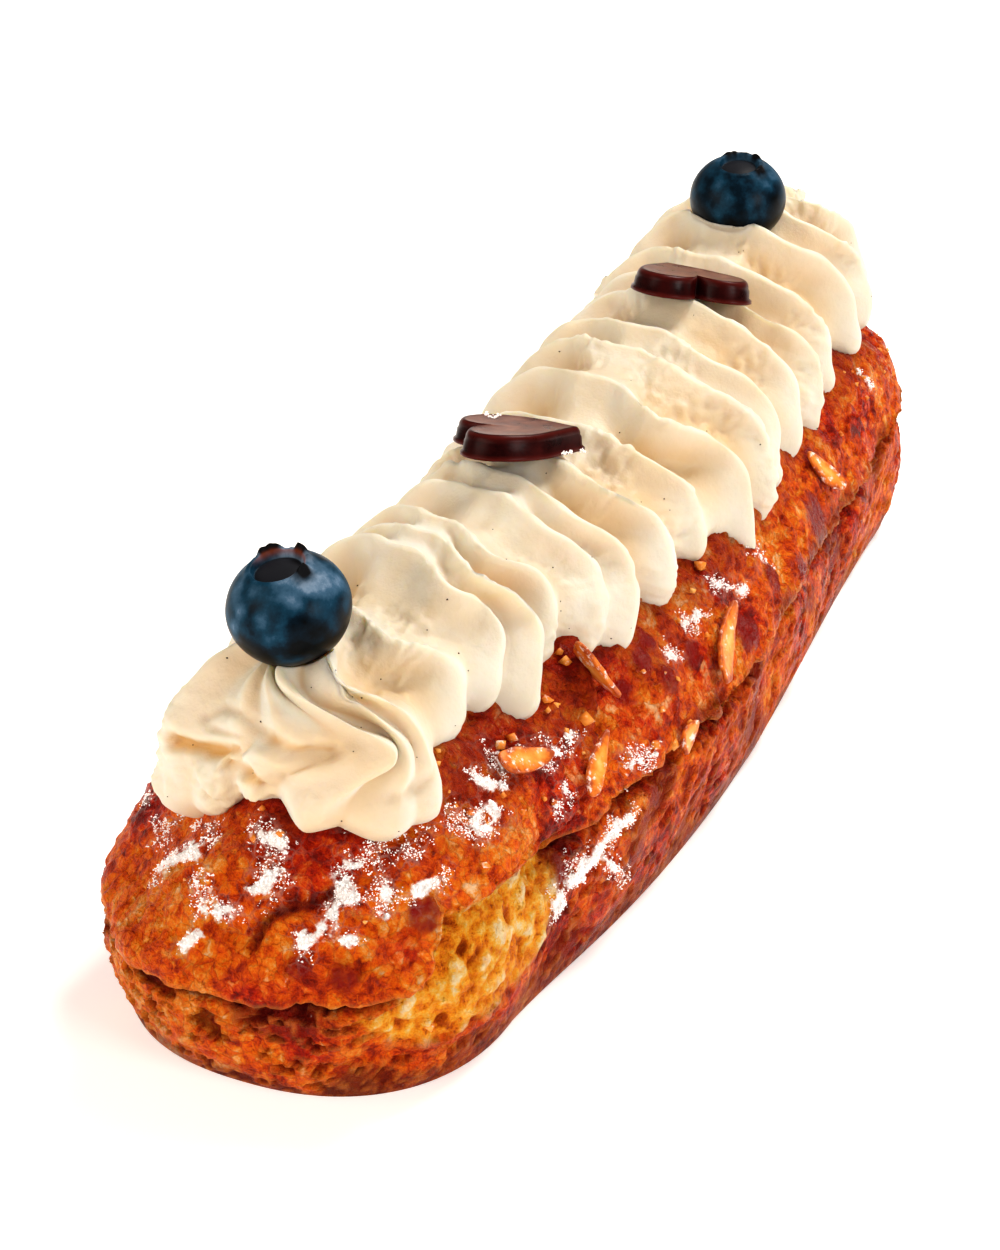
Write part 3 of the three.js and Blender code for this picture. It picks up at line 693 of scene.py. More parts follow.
# Red blisters of egg glaze: pixel and radius in mm
BLISTERS_SEEN = [
    ((772, 578), 1.8),
    ((815, 520), 3.0),
    ((800, 566), 1.3),
    ((690, 655), 1.5),
    ((640, 660), 1.6),
    ((620, 690), 1.3),
    ((812, 459), 1.7),
    ((745, 632), 2.2),
    ((668, 680), 1.6),
    ((645, 640), 1.4),
    ((425, 915), 1.8),
    ((345, 978), 1.5),
    ((298, 968), 1.2),
    ((548, 868), 2.2),
]
TOP_CREVICE = [(252, 944), (262, 925), (277, 911), (300, 905), (331, 893)]  # pixels
HIDDEN_STROKES = 44
HIDDEN_HEIGHTS = (20, 29)
CLUMPED = 0.6  # thinner than this, sugar is only dust between the granules


def distance_to(points, a, b):
    """Distance of each point from the straight line between two points."""
    run = b - a
    t = clamp01((points - a) @ run / max(run @ run, 1e-9))
    return np.linalg.norm(points - a - t[..., None] * run, axis=-1)


def sugar_on(points, tree):
    """How thickly icing sugar lies at each point, in clumps and as dust: in the strokes of the photo, and in
    scattered ones on the hidden side."""
    draw = np.random.default_rng(5)
    strokes = [(seen_at(a, tree), seen_at(b, tree), wide, thick) for a, b, wide, thick in SUGAR_SEEN]
    for _ in range(HIDDEN_STROKES):
        along = draw.uniform(-SPINE, SPINE + 8)
        side = draw.uniform(0.15, 0.6) * np.pi
        z = draw.uniform(*HIDDEN_HEIGHTS)
        start = bun_points(*np.array([[along], [side], [z], [1.0]]))[0][0]
        end = start + draw.normal(0, 1.4, 3)
        strokes.append((start, end, draw.uniform(0.6, 1.4), draw.uniform(0.5, 1.0)))
    cover = np.zeros(points.shape[:-1])
    dust = cover.copy()
    for a, b, wide, thick in strokes:
        if a is not None and b is not None:
            far = distance_to(points, a, b) + 0.4 * rough(points, 2.2, 50)
            dust = np.maximum(dust, thick * bell(np.maximum(far, 0) / (1.1 * wide + 0.9)))
            if thick > CLUMPED:
                cover = np.maximum(cover, thick * bell(np.maximum(far, 0) / (0.85 * wide)))
    clumps = 0.85 + 0.9 * rough(points, 1.7, 41) + 0.7 * rough(points, 0.9, 42)
    patchy = clamp01(0.4 + 1.2 * rough(points, 3, 49))
    return clamp01(cover * np.maximum(clumps, 0)), clamp01(dust * patchy)


def blisters_on(points, tree):
    cover = np.zeros(points.shape[:-1])
    for pixel, radius in BLISTERS_SEEN:
        middle = seen_at(pixel, tree)
        if middle is not None:
            far = np.linalg.norm(points - middle, axis=-1) / radius
            cover = np.maximum(cover, smooth((1.3 - far + 0.3 * rough(points, 1.2, 45)) / 0.6))
    return cover


def crevice_on(points, tree):
    places = [seen_at(pixel, tree) for pixel in TOP_CREVICE]
    cover = np.zeros(points.shape[:-1])
    for a, b in zip(places, places[1:]):
        cover = np.maximum(cover, bell((distance_to(points, a, b) + 0.25 * rough(points, 1.5, 46)) / 0.6))
    return cover


SIDE_STEPS = 230
END_STEPS = 146
LOW_ROWS = 32
CRACK_ROWS = 15
TOP_ROWS = 72
LIP_OUT = 23  # the lip's distance from the middle line

# Fine forms of the crust: how wide each is, and how far it stands out or in
SWELL = (6.5, 0.26)
KNOB = (2.6, 0.26)
BUMP = (1.2, 0.14)
PLATE = (4.2, 0.24)
PLATE_GAP = (0.45, 0.3)
GRANULE = (1.5, 0.22)
PORE = (2.6, 0.8)
PORE_RIM = 0.25
STRAND = (2.4, 0.9)
CRUMB = (1.1, 0.45)
CRUMB_HOLE = (2.4, 0.9)
CREVICE = 1.1
BLISTER = 0.3
SUGAR_FILM = 0.2
# Where the crust is browner or paler than the rest: places along the bun, and a height
# above this height the top is painted darker, as shade by the cream's foot
TOP_SHADE_FROM = 22
# from here to the near end the left side is painted lighter, as light falling on it
GOLDEN_END = -66
GOLDEN_HALO = -52
GOLDEN_SIDE = -40
ROLLED_SIDE = -30
# The far right corner: degrees round and their spread, where it starts, and how its shoulder and lip change
FAR_CORNER = {"turn": -62, "spread": 32, "from": 18, "shoulder": 22, "fuller": 1.5, "slimmer": 1.4}


def bun_columns():
    along = np.linspace(-SPINE, SPINE, SIDE_STEPS + 1)
    bend = np.linspace(-QUARTER, QUARTER, END_STEPS + 1)[1:-1]
    alongs = np.concatenate([along, np.full(len(bend), SPINE), along[::-1], np.full(len(bend), -SPINE)])
    turns = np.concatenate([np.full(len(along), -QUARTER), bend, np.full(len(along), QUARTER), bend + np.pi])
    return alongs[None, :], turns[None, :]


def bun_rows():
    base = [(0, 0), (0, 0.4), (0, 0.8), (0, 0.95), (0, 1)]
    low = [(z, 1) for z in np.linspace(0, SEAM_HEIGHT - SEAM_BELOW, LOW_ROWS)[1:]]
    crack = [(z, 1) for z in np.linspace(SEAM_HEIGHT - SEAM_BELOW, SEAM_HEIGHT + SEAM_ABOVE, CRACK_ROWS)[1:]]
    first = np.arcsin((SEAM_HEIGHT + SEAM_ABOVE - BELLY) / (HEIGHT - BELLY))
    top = [(BELLY + (HEIGHT - BELLY) * np.sin(a), 1) for a in np.linspace(first, QUARTER, TOP_ROWS)[1:]]
    rows = np.array(base + low + crack + top + [(HEIGHT, 0)])
    return rows[:, :1], rows[:, 1:]


def far_corner(along, turn, z):
    """The far right corner is fuller at its shoulder and slimmer at the lip of the crack than the rest."""
    near_turn = bell((np.degrees(turn) - FAR_CORNER["turn"]) / FAR_CORNER["spread"])
    share = near_turn * smooth((along - SPINE) / FAR_CORNER["from"] + 1)
    fuller = FAR_CORNER["fuller"] * bell((z - FAR_CORNER["shoulder"]) / 4.5)
    return share * (fuller - FAR_CORNER["slimmer"] * bell((z - SEAM_HEIGHT) / 4))


def crust_forms(point, turn, over):
    """Fine forms of the crust: relief of baked skin and of torn crumb in mm, and shares for its masks."""
    lower = smooth(0.2 - over)
    right = np.maximum(0, -np.sin(turn))
    calm = 1 - 0.6 * lower * right
    swell = rough(point, SWELL[0], 11)
    knobs = KNOB[1] * np.abs(rough(point, KNOB[0], 12))
    bumps = SWELL[1] * swell + knobs + BUMP[1] * rough(point, BUMP[0], 13)
    first, second, tilt = grains(point, PLATE[0], 14)
    plates = PLATE[1] * tilt - PLATE_GAP[1] * bell((second - first) / PLATE_GAP[0])
    middle, _, _ = grains(point, GRANULE[0], 18)
    granules = GRANULE[1] * (1 - middle / (GRANULE[0] / 2)) * smooth(0.5 + 1.2 * rough(point, 8, 19))
    ragged = rough(point * [1, 1, 1.5], PORE[0], 20) + 0.6 * rough(point, 1.1, 26)
    pores = smooth((-0.22 - ragged) / 0.14) * lower
    pore_rim = bell((ragged + 0.12) / 0.1) * lower * (1 - pores)
    hole, _, big = grains(point, CRUMB_HOLE[0], 15)
    holes = CRUMB_HOLE[1] * bell(hole / 0.7) * smooth((big + 0.4) / 0.4)
    strands = np.abs(rough(point * [0.6, 1, 0.6], STRAND[0], 16))
    return {
        "skin": (bumps + PORE_RIM * pore_rim - PORE[1] * pores) * calm + (plates + granules) * (1 - lower),
        "tear": STRAND[1] * strands + CRUMB[1] * rough(point, CRUMB[0], 17) - holes,
        "lower": lower,
        "right": right,
        "raised": clamp01(0.5 + 0.6 * tilt * (1 - lower) - 0.5 * swell),
        "pores": pores * calm,
        "pore_rim": pore_rim,
    }


def crust_masks(point, along, z, inset, over, torn, form):
    """Where the crust is torn, browned, creased or pale, from 0 to 1, for its material, with painted shade and
    light.
    """
    lower, right = form["lower"], form["right"]
    under, share = cap_drop(point)
    whole = 1 - torn
    crack = bell((over + 0.05) / 0.5) * whole * inset
    cap_edge = share * bell((under - 0.9) / 0.9)
    rolled = smooth(over / 0.5) * smooth((3.6 - over) / 1.6) * right * smooth((along - ROLLED_SIDE) / 10)
    rolled = rolled * smooth(0.7 + 1.4 * rough(point, 8, 43))
    foot = smooth((1.6 + 1.8 * right + 1.8 * rough(point, 6, 47) - z) / 1.2)
    brown = 0.75 * smooth(rough(point, 8, 44) * 2.2 - 0.1) * lower * whole
    # Darker towards the top, by the cream's foot: painted shade
    crown = 0.6 * smooth((point[..., 2] + 2.5 * rough(point, 5, 27) - TOP_SHADE_FROM) / 7) * (1 - lower)
    # The near end's left side painted lighter: painted light
    painted_light_near_end = smooth((GOLDEN_END - point[..., 0]) / 8) * smooth((point[..., 1] + 2) / 8)
    golden_halo = share * bell(np.minimum(under, 0) / 4.5) * smooth((GOLDEN_HALO - point[..., 0]) / 8)
    golden_side = 0.32 * right * smooth((along - GOLDEN_SIDE) / 20)
    return {
        "torn": torn * smooth((z - 4.5) / 3),
        "toasted": np.maximum(brown, crown),
        "raised": form["raised"],
        # Painted shade in the crack under the lip, under the cap's edge, in the pit and in pores
        "crevice": 0.85 * crack + 0.2 * cap_edge + 0.1 * pit_share(point) + 0.75 * form["pores"] * whole,
        "lit_edge": 0.55 * bell((over - 0.75) / 0.35) * whole * inset + 0.4 * form["pore_rim"],
        "smooth_strip": clamp01(0.6 * rolled + 0.55 * foot),
        # pale: a golden halo round the tear, a paler right side, and painted light on the near end
        "pale": clamp01(painted_light_near_end + (golden_halo + golden_side) * (1 - lower)),
        "strand": 0.8 * form["tear"] - 0.1,
    }


def make_bun(material):
    """The baked crust. Gives its points, the way they face, its sugar and dust, and its tree of sight."""
    along, turn = bun_columns()
    z, inset = bun_rows()
    edge = np.stack([along + LIP_OUT * np.cos(turn), LIP_OUT * np.sin(turn), 0 * along], -1)
    ragged = RAGGED * (rough(edge, 6, 3) + 0.7 * rough(edge, 2.2, 4) + 0.5 * rough(edge, 1.1, 5))
    point, over = bun_points(along, turn, z, inset, ragged)
    tree = sight_tree(point)
    normal = normals_of(point)
    torn = torn_share(point)
    blister = blisters_on(point, tree) * (1 - torn)
    crevice = crevice_on(point, tree)
    sugar, dust = sugar_on(point, tree)
    sugar = sugar * inset
    form = crust_forms(point, turn, over)
    skin = form["skin"] * (1 - 0.8 * blister) + BLISTER * blister - CREVICE * crevice
    relief = skin * (1 - torn) * clamp01(z / 3) * inset + form["tear"] * torn
    relief = relief + SUGAR_FILM * smooth((sugar - 0.3) / 0.3) + far_corner(along, turn, z)
    point = point + normal * relief[..., None]
    point[..., 2] = np.where(z <= 0, 0, np.maximum(point[..., 2], 0))
    masks = crust_masks(point, along, z, inset, over, torn, form)
    # Painted shade also along the line cut into the top
    masks["crevice"] = clamp01(masks["crevice"] + 0.8 * crevice)
    masks["sugar"] = sugar
    masks["dust"] = 0.4 * dust
    masks["blister"] = clamp01(0.95 + 0.5 * rough(point, 1.6, 48)) * blister
    piece("pastry_crust", ring_mesh("pastry_crust", point, masks), material, ["pastry"])
    return point, normal, sugar, dust, tree


# Cream

# Ridges of the right side: where each leaves the crest, its foot, its reach, how deep the hollow after it is
# above and at the foot, how round its foot is, and how far it hooks back just under the crest
RIGHT_RIDGES = [
    (-54, -54.5, 12.9, 0.9, 0.6, 2.5, 2.5),
    (-42.5, -50.5, 13.2, 1.0, 0.9, 1.2, 3.0),
    (-39.5, -46.5, 16.0, 1.2, 1.2, 0.9, 3.0),
    (-36, -38, 13.7, 0.9, 0.8, 3.0, 3.0),
    (-25, -33, 15.3, 0.9, 0.5, 3.0, 2.5),
    (-21, -28.5, 17.5, 1.1, 1.1, 0.8, 2.5),
    (-16, -15.5, 17.4, 0.9, 0.7, 3.5, 2.0),
    (-6, -5.5, 16.8, 1.0, 0.45, 0.8, 1.0),
    (4, 4.5, 20.0, 1.0, 0.8, 0.6, 4.5),
    (14, 13, 19.6, 0.8, 0.5, 2.5, 2.0),
    (22, 19, 18.8, 1.0, 0.7, 2.0, 2.5),
    (30, 27.5, 18.8, 1.0, 0.8, 3.0, 0.5),
    (38.5, 36.5, 19.6, 0.9, 0.8, 2.0, 2.0),
    (45.5, 46.5, 18.2, 1.0, 0.8, 2.0, 1.0),
    (54.5, 58.5, 18.4, 1.0, 0.7, 3.0, 2.0),
    (64, 66, 17.4, 1.0, 0.7, 3.0, 2.0),
]
SIDE_SWING = 1.3
# Ridges that fan round the ends: direction out, reach, depth of the hollow after it above and at the foot,
# roundness of the foot, hook under the crest, and swing further down
FAR_RIDGES = [
    (-54, 18.0, 1.0, 0.8, 3, 2, 1),
    (-14, 16.0, 1.0, 1.0, 3, 2, 1),
    (24, 14.5, 1.0, 1.0, 3, 2, 1),
    (60, 14.5, 1.0, 1.0, 3, 2, 1),
]
NEAR_RIDGES = [
    (112, 15.8, 0.35, 0.35, 3.0, 0, 1),
    (150, 11.2, 0.35, 0.4, 2.0, 0, 2),
    (172, 10.9, 0.6, 0.6, 1.5, 1, 3),
    (203, 13.0, 0.6, 0.5, 1.6, 2.5, 9.0),
    (238, 15.5, 0.5, 0.3, 5.0, 1.0, 2.5),
    (258, 16.0, 0.9, 0.6, 2.5, 3.8, 0),
]
RIDGE_STEP = 0.42  # from column to column
CREAM_ROWS = 114
# Creases and folded edges of the near shell: pixels along each, half width in mm, and how far out it stands
CREAM_FOLDS_SEEN = [
    ([(172, 742), (205, 750), (236, 752)], 0.8, -1.5),
    ([(205, 716), (222, 706), (240, 712), (262, 730)], 0.6, -0.45),
    ([(212, 728), (236, 735)], 0.5, -0.4),
    ([(226, 766), (246, 772), (262, 790)], 0.8, -1.2),
    ([(232, 758), (262, 752), (292, 766), (318, 762)], 1.0, 0.6),
    ([(268, 740), (300, 752), (330, 752)], 0.9, -1.1),
    ([(300, 776), (326, 772), (350, 758)], 0.9, 0.6),
    ([(205, 796), (218, 802)], 0.6, -0.6),
    ([(392, 796), (420, 788), (438, 772)], 0.8, -0.5),
    ([(352, 640), (340, 668), (350, 694)], 0.8, -0.5),
    ([(372, 690), (392, 676), (398, 690)], 0.6, -0.4),
]

# Crown as a share of the berry's radius, how much bloom and scar show, then place, spin, lean and its side
BERRIES = {
    "berry_near": (0.45, 0.72, 0.5, ((-62.3, 1.0, 45.2), 20, 12.5, 143)),
    "berry_far": (0.42, 0.5, 0.0, ((58.4, 0.3, 45.0), 50, 9, 200)),
}
HEARTS = {
    "heart_near": ((-15.5, -1.9, 43.6), 31, 15, 15),
    "heart_far": ((33.7, -2.3, 43.2), 133, 17, -5),
}


def all_ridges():
    """Crest, foot, reach, direction, depth above and at the foot, roundness, hook and swing of every ridge,
    in order round the cream."""
    span = CREAM_TO - CREAM_FROM
    right = []
    left = []
    for i, (crest, foot, reach, deep, low, fat, hook) in enumerate(RIGHT_RIDGES):
        right.append((crest, foot, reach, -90, deep, low, fat, hook, SIDE_SWING))
        foot = crest + 4 * np.sin((crest - CREAM_FROM) * np.pi / span)
        swell = LEFT_SWELL * bell((crest - 6) / 20) - LEFT_WAIST * bell((crest + 36) / 9)
        left.append((crest, foot, LEFT_REACH + np.sin(i * 2.1) + swell, 90, 1, 1, 2, 2, SIDE_SWING))
    far = [(CREAM_TO, CREAM_TO, reach, turn, *rest) for turn, reach, *rest in FAR_RIDGES]
    near = [(CREAM_FROM, CREAM_FROM, reach, turn, *rest) for turn, reach, *rest in NEAR_RIDGES]
    return np.array(right + far + left[::-1] + near, float)


def cream_columns():
    """For each column: what its ridge has, the share of the gap passed, the gap, and the hollow's depth at the
    crest, further down and at the foot."""
    ridges = all_ridges()
    ahead = np.roll(ridges, -1, 0)
    ahead[:, 3] = np.where(ahead[:, 3] < ridges[:, 3] - 180, ahead[:, 3] + 360, ahead[:, 3])
    columns = []
    for ridge, after in zip(ridges, ahead):
        fan = np.radians(abs(after[3] - ridge[3])) * ridge[2]
        spread = abs(after[1] - ridge[1]) + fan
        crest_gap = abs(after[0] - ridge[0])
        gap = max(crest_gap, spread, 3)
        steps = int(max(10, np.ceil(max(crest_gap, fan, 5) / RIDGE_STEP)))
        t = np.arange(steps)[:, None] / steps
        valley = VALLEY * min(1, 0.25 + spread / 12)
        facts = [gap, CREST_VALLEY * min(1, crest_gap / 9), ridge[4] * valley, ridge[5] * valley]
        columns.append(np.hstack([blend(ridge, after, t), t, np.broadcast_to(facts, (steps, 4))]))
    return np.vstack(columns)


def crest_height(x):
    dips = NEAR_DIP * bell((x - CREAM_FROM) / DIP_SPREAD) + FAR_DIP * bell((x - CREAM_TO) / DIP_SPREAD)
    for (heart_x, _, _), *_ in HEARTS.values():
        dips = dips + HEART_DIP * bell((x - heart_x) / HEART_DIP_SPREAD)
    return CREST + CREST_BUMP * np.cos((x - CREAM_FROM) * 2 * np.pi / SHELL_PITCH) - dips


def drift(hook, swing, s):
    """A ridge hooks one way just under the crest and swings the other way further down."""
    return smooth(s / 0.1) * (swing * bell((s - 0.58) / 0.17) - hook * bell((s - 0.23) / 0.15))


def cream_points(columns, s):
    """Points from the crest (s = 0) down to the foot (s = 1), and how deep each lies in its hollow."""
    crest, foot, reach, turn, _, _, fat, hook, swing, t, gap, high, deep, low = columns.T[:, None, :]
    turn = np.radians(turn)
    soft = smooth(s / 0.1) * blend(np.maximum(RIDGE_ROUND, fat - 3), fat, smooth((s - 0.35) / 0.6)) * 2 / gap
    inside = np.sqrt(np.square(2 * np.minimum(t, 1 - t)) + soft**2) - soft
    hollow = blend(blend(high, deep, smooth(s / HOLLOW_FROM)), low, smooth((s - 0.5) / 0.35))
    sunk = inside * (2 - inside) * hollow
    along = blend(crest, foot, s**1.5)
    wide = reach - sunk * smooth(s / 0.15)
    widest = top_height(wide, turn) + 0.8 * FOOT_ROLL
    angle = QUARTER * (1 - np.minimum(s / ROLL_FROM, 1))
    roll = ROLL_TURN * clamp01((s - ROLL_FROM) / (1 - ROLL_FROM))
    z = blend(widest, crest_height(crest) - sunk, np.sin(angle)) - FOOT_ROLL * np.sin(roll)
    near_end = np.maximum(0, -np.cos(turn))
    far_end = np.maximum(0, np.cos(turn))
    full = SHOULDER + NEAR_SHOULDER * near_end + FAR_SHOULDER * far_end
    out = wide * np.cos(angle) ** full - FOOT_ROLL * (1 - np.cos(roll))
    beside = drift(hook, swing, s)
    x = along + np.cos(turn) * out - np.sin(turn) * beside
    y = midline(along) + np.sin(turn) * out + np.cos(turn) * beside
    return np.stack([x, y, z], -1), sunk


def turned(spin, lean, towards):
    """Spun about its own axis, then leaned over towards a side."""
    axis = Vector((-np.sin(np.radians(towards)), np.cos(np.radians(towards)), 0))
    return np.array(Matrix.Rotation(np.radians(lean), 3, axis) @ Matrix.Rotation(np.radians(spin), 3, "Z"))


def placed(points, at, *turn):
    return points @ turned(*turn).T + np.array(at)


def pressed(points):
    """The cream gives way under each topping, and stays a little clear of it."""
    for at, *turn in HEARTS.values():
        local = (points - np.array(at)) @ turned(*turn)
        level = -HEART_THICK / 2 - 0.1
        near = smooth(HEART / 2 + 1 - np.linalg.norm(local[..., :2], axis=-1))
        local[..., 2] = np.where(local[..., 2] > level, blend(local[..., 2], level, near), local[..., 2])
        points = placed(local, at, *turn)
    for _, _, _, (at, *turn) in BERRIES.values():
        away = (points - np.array(at)) / [1, 1, BERRY_FLAT]
        far = np.maximum(np.linalg.norm(away, axis=-1, keepdims=True), 0.5)
        points = np.array(at) + away * np.maximum(1, (BERRY + 0.15) / far) * [1, 1, BERRY_FLAT]
    return points


def folds_on(points, tree):
    """How far each point is pushed in by the creases of the near shell, or out by its folded edges."""
    relief = np.zeros(points.shape[:-1])
    for pixels, wide, out in CREAM_FOLDS_SEEN:
        places = [seen_at(pixel, tree) for pixel in pixels]
        cover = np.zeros(points.shape[:-1])
        for a, b in zip(places, places[1:]):
            if a is not None and b is not None:
                far = distance_to(points, a, b) + 0.2 * rough(points, 2, 25)
                cover = np.maximum(cover, bell(far / wide))
        relief = relief + out * cover
    return relief


def make_cream(material):
    columns = cream_columns()
    s = np.linspace(1, 0, CREAM_ROWS)[:, None]
    point, sunk = cream_points(columns, s)
    normal = normals_of(point)
    worn = smooth(rough(point, 9, 21) * 1.5 + 0.15)
    folds = folds_on(point, sight_tree(point))
    lumpy = 0.45 * rough(point, 6, 28) + 0.28 * rough(point, 3.5, 22)
    relief = folds + lumpy + worn * (0.42 * rough(point, 1.5, 23) + 0.22 * rough(point, 0.8, 24))
    relief = relief * smooth((1 - s) / 0.05) * smooth(s / 0.05)
    point = pressed(point + normal * relief[..., None])
    crest = columns[:, 0]
    heart_line = np.stack([crest, midline(crest), 0 * crest + HEIGHT - 0.6], -1)
    under = [blend(heart_line, point[0], share) for share in (0, 0.5, 0.85)]
    rings = np.concatenate([np.stack(under), point])
    # Painted shade: a tan tint where the cream faces the near end, away from the key light, stronger in
    # hollows and creases
    near_side = smooth((-normal[..., 0] - 0.1) / 0.6) * smooth((0.6 - normal[..., 1]) / 0.8)
    end = smooth(-np.cos(np.radians(columns[:, 3])) / 0.4)
    along_side = 0.7 * clamp01(0.25 + 0.9 * sunk / VALLEY) * (1 - 0.75 * smooth((s - 0.45) / 0.25))
    painted_shade_tint = near_side * blend(along_side, clamp01(0.35 + 0.65 * sunk / VALLEY), end)
    painted_shade_tint = np.maximum(painted_shade_tint, 0.7 * clamp01(1.3 * sunk / VALLEY - 0.25))
    painted_shade_tint = np.maximum(painted_shade_tint, clamp01(-0.8 * folds))
    masks = {"hollow": np.concatenate([np.zeros((len(under), len(columns))), painted_shade_tint])}
    piece("piped_cream", ring_mesh("piped_cream", rings, masks), material, ["cream"])
    return point, normals_of(point)


# Toppings


SEPALS_STAND = -20  # degrees: the dried sepals still stand on this side of the crown
# Shares of a berry's radius
SEPAL_HIGH = 0.07
CROWN_RIM = 0.015
CRATER = 0.14
UNROUND = 0.012


def make_berry(node, crown, bloom, scar, place, material):
    """A flattened round with a shallow crater on top, ringed by what is left of five dried sepals."""
    polar = np.concatenate([np.linspace(np.pi, 0.8, 60)[:-1], np.linspace(0.8, 0, 90)])[:, None]
    round_ = np.linspace(0, 2 * np.pi, 200, endpoint=False)[None, :]
    wide = np.sin(polar)
    top = polar < QUARTER
    away = round_ - np.radians(SEPALS_STAND - place[1])
    circle = np.stack(np.broadcast_arrays(3 * np.cos(round_), 3 * np.sin(round_), 0 * polar), -1)
    standing = smooth((np.cos(away) + 0.5) / 0.7)
    sepal = standing * clamp01(0.6 + 0.45 * np.cos(5 * away + 0.9) + 0.5 * rough(circle, 0.8, 33))
    rim = (SEPAL_HIGH * sepal * (1 + (scar > 0)) + CROWN_RIM) * bell((wide - crown * 1.14) / 0.05)
    crater = CRATER * smooth((crown - wide) / 0.07)
    up = np.cos(polar) * BERRY_FLAT + np.where(top, rim - crater, 0)
    rings = BERRY * np.stack(np.broadcast_arrays(wide * np.cos(round_), wide * np.sin(round_), up), -1)
    rings = rings * (1 + UNROUND * rough(rings, 5, 31))[..., None]
    # Bloom, paler towards the top: wax bloom, with painted light on the top
    film = 0.3 + 0.7 * up + 0.45 * rough(rings, 4.5, 35) + 0.35 * rough(rings, 1.7, 36)
    masks = {
        "bloom": clamp01(film) * bloom,
        "calyx": clamp01(1.6 * sepal * bell((wide - crown * 1.14) / 0.11)) * top,
        "scar": scar * standing * bell((wide - crown * 0.97) / 0.022) * top,
        "floor": smooth((crown * 0.9 - wide) / 0.04) * top,
    }
    mesh = ring_mesh(node + "_fruit", placed(rings, *place), masks)
    return piece(node + "_fruit", mesh, material, [node])


def stacked(outline, profile):
    """Rings of a flat outline, each at a height and drawn in to a share of its size."""
    return np.stack([np.column_stack([outline * share, np.full(len(outline), z)]) for z, share in profile])


def heart_outline(count):
    """Points round a heart whose tip is towards -Y, by four Bezier arcs, for a half width of 1."""
    arcs = [
        ((0, -1), (0.5, -0.6), (1, -0.15), (1, 0.3)),
        ((1, 0.3), (1, 0.95), (0.2, 1.05), (0, 0.45)),
        ((0, 0.45), (-0.2, 1.05), (-1, 0.95), (-1, 0.3)),
        ((-1, 0.3), (-1, -0.15), (-0.5, -0.6), (0, -1)),
    ]
    t = np.linspace(0, 1, count, endpoint=False)[:, None]
    parts = []
    for p0, p1, p2, p3 in arcs:
        p0, p1, p2, p3 = map(np.array, (p0, p1, p2, p3))
        parts.append((1 - t) ** 3 * p0 + 3 * t * (1 - t) ** 2 * p1 + 3 * t**2 * (1 - t) * p2 + t**3 * p3)
    return np.vstack(parts)


def make_heart(node, place, material):
    """A moulded heart: a thin rim at its foot, sides that lean in, a round edge and a slightly hollow top."""
    outline = heart_outline(36)
    r = HEART / 2
    half = HEART_THICK / 2
    bend = np.linspace(0.2, QUARTER, 7)
    round_edge = list(zip(half - HEART_BEVEL * (1 - np.sin(bend)), 0.92 - 0.09 * (1 - np.cos(bend))))
    profile = [(-half, 0.0), (-half, 0.6), (-half, 0.97), (-half + 0.12, 1.0), (-half + 0.4, 0.995)]
    profile += [(-half + 0.65, 0.955), (0.2, 0.94), (half - HEART_BEVEL, 0.92), *round_edge]
    profile += [(half - 0.03, 0.8), (half - 0.1, 0.6), (half - 0.15, 0.3), (half - 0.15, 0.0)]
    rings = stacked(outline * r, profile)
    height, share = np.array(profile).T[:, :, None]
    foot_rim = bell((height + half - 0.2) / 0.25) * (share > 0.9)
    masks = {
        # rim: redder at the foot, and a painted highlight along the round top edge
        "rim": 0.8 * foot_rim + 0.6 * bell((share - 0.88) / 0.03) * (height > 0.5),
        # paler grey top: scuffs, and a painted reflection of the sky
        "upper": smooth((0.84 - share) / 0.05) * (height > 0),
    }
    rings = rings + 0.05 * np.stack([rough(rings, 3, 51), rough(rings, 3, 52), rough(rings, 3, 53)], -1)
    rings = placed(rings, *place)
    mesh = ring_mesh(node + "_chocolate", rings, masks)
    piece(node + "_chocolate", mesh, material, [node])
    return sight_tree(rings)


# Flakes, nibs, grains and specks

# Almond flakes baked on to the crust: place along the bun, side, height, spin, half length and half width
FLAKES = [
    (-35.8, -1, 27.5, -65, 4.2, 2.0),
    (-11.7, -1, 20.5, 25, 6.0, 1.5),
    (-43.2, -1, 21.1, 30, 4.0, 1.1),
    (-26.2, -1, 15.9, 18, 2.4, 1.2),
    (-51.0, -1, 25.9, -23, 3.7, 1.4),
    (30, -1, 22, 110, 3.5, 1.5),
    (-48, 1, 25, 40, 4.2, 2.0),
    (-20, 1, 22, 125, 5.0, 1.5),
    (8, 1, 22.5, 60, 3.8, 1.8),
    (34, 1, 21, 20, 3.5, 1.6),
]
FLAKE_THICK = 0.5
FLAKE_LIFT = 0.85  # its middle over the smooth crust, so that it lies on the knobs
LOOSE_NIBS = 150
NIB_HEIGHTS = (20, 30)
NIBS_SEEN = [(675, 745), (690, 725), (560, 652), (566, 662), (520, 768), (430, 1026)]  # pixels
NIBS_SEEN += [(545, 700), (556, 706), (535, 690), (430, 800), (446, 790), (500, 745)]
NIBS_SEEN += [(512, 738), (585, 720), (470, 812), (488, 824), (655, 745), (700, 566)]


def crust_frame(along, side, z):
    """A place on the smooth crust of a side, with directions along it, up it and out of it."""
    args = np.array([[along, along + 1, along], [side * QUARTER] * 3, [z, z, z + 0.5], [1.0] * 3])
    here, ahead, above = bun_points(*args)[0]
    run = unit(ahead - here)
    out = unit(np.cross(run, above - here)) * -side
    return here, np.stack([run, np.cross(out, run), out])


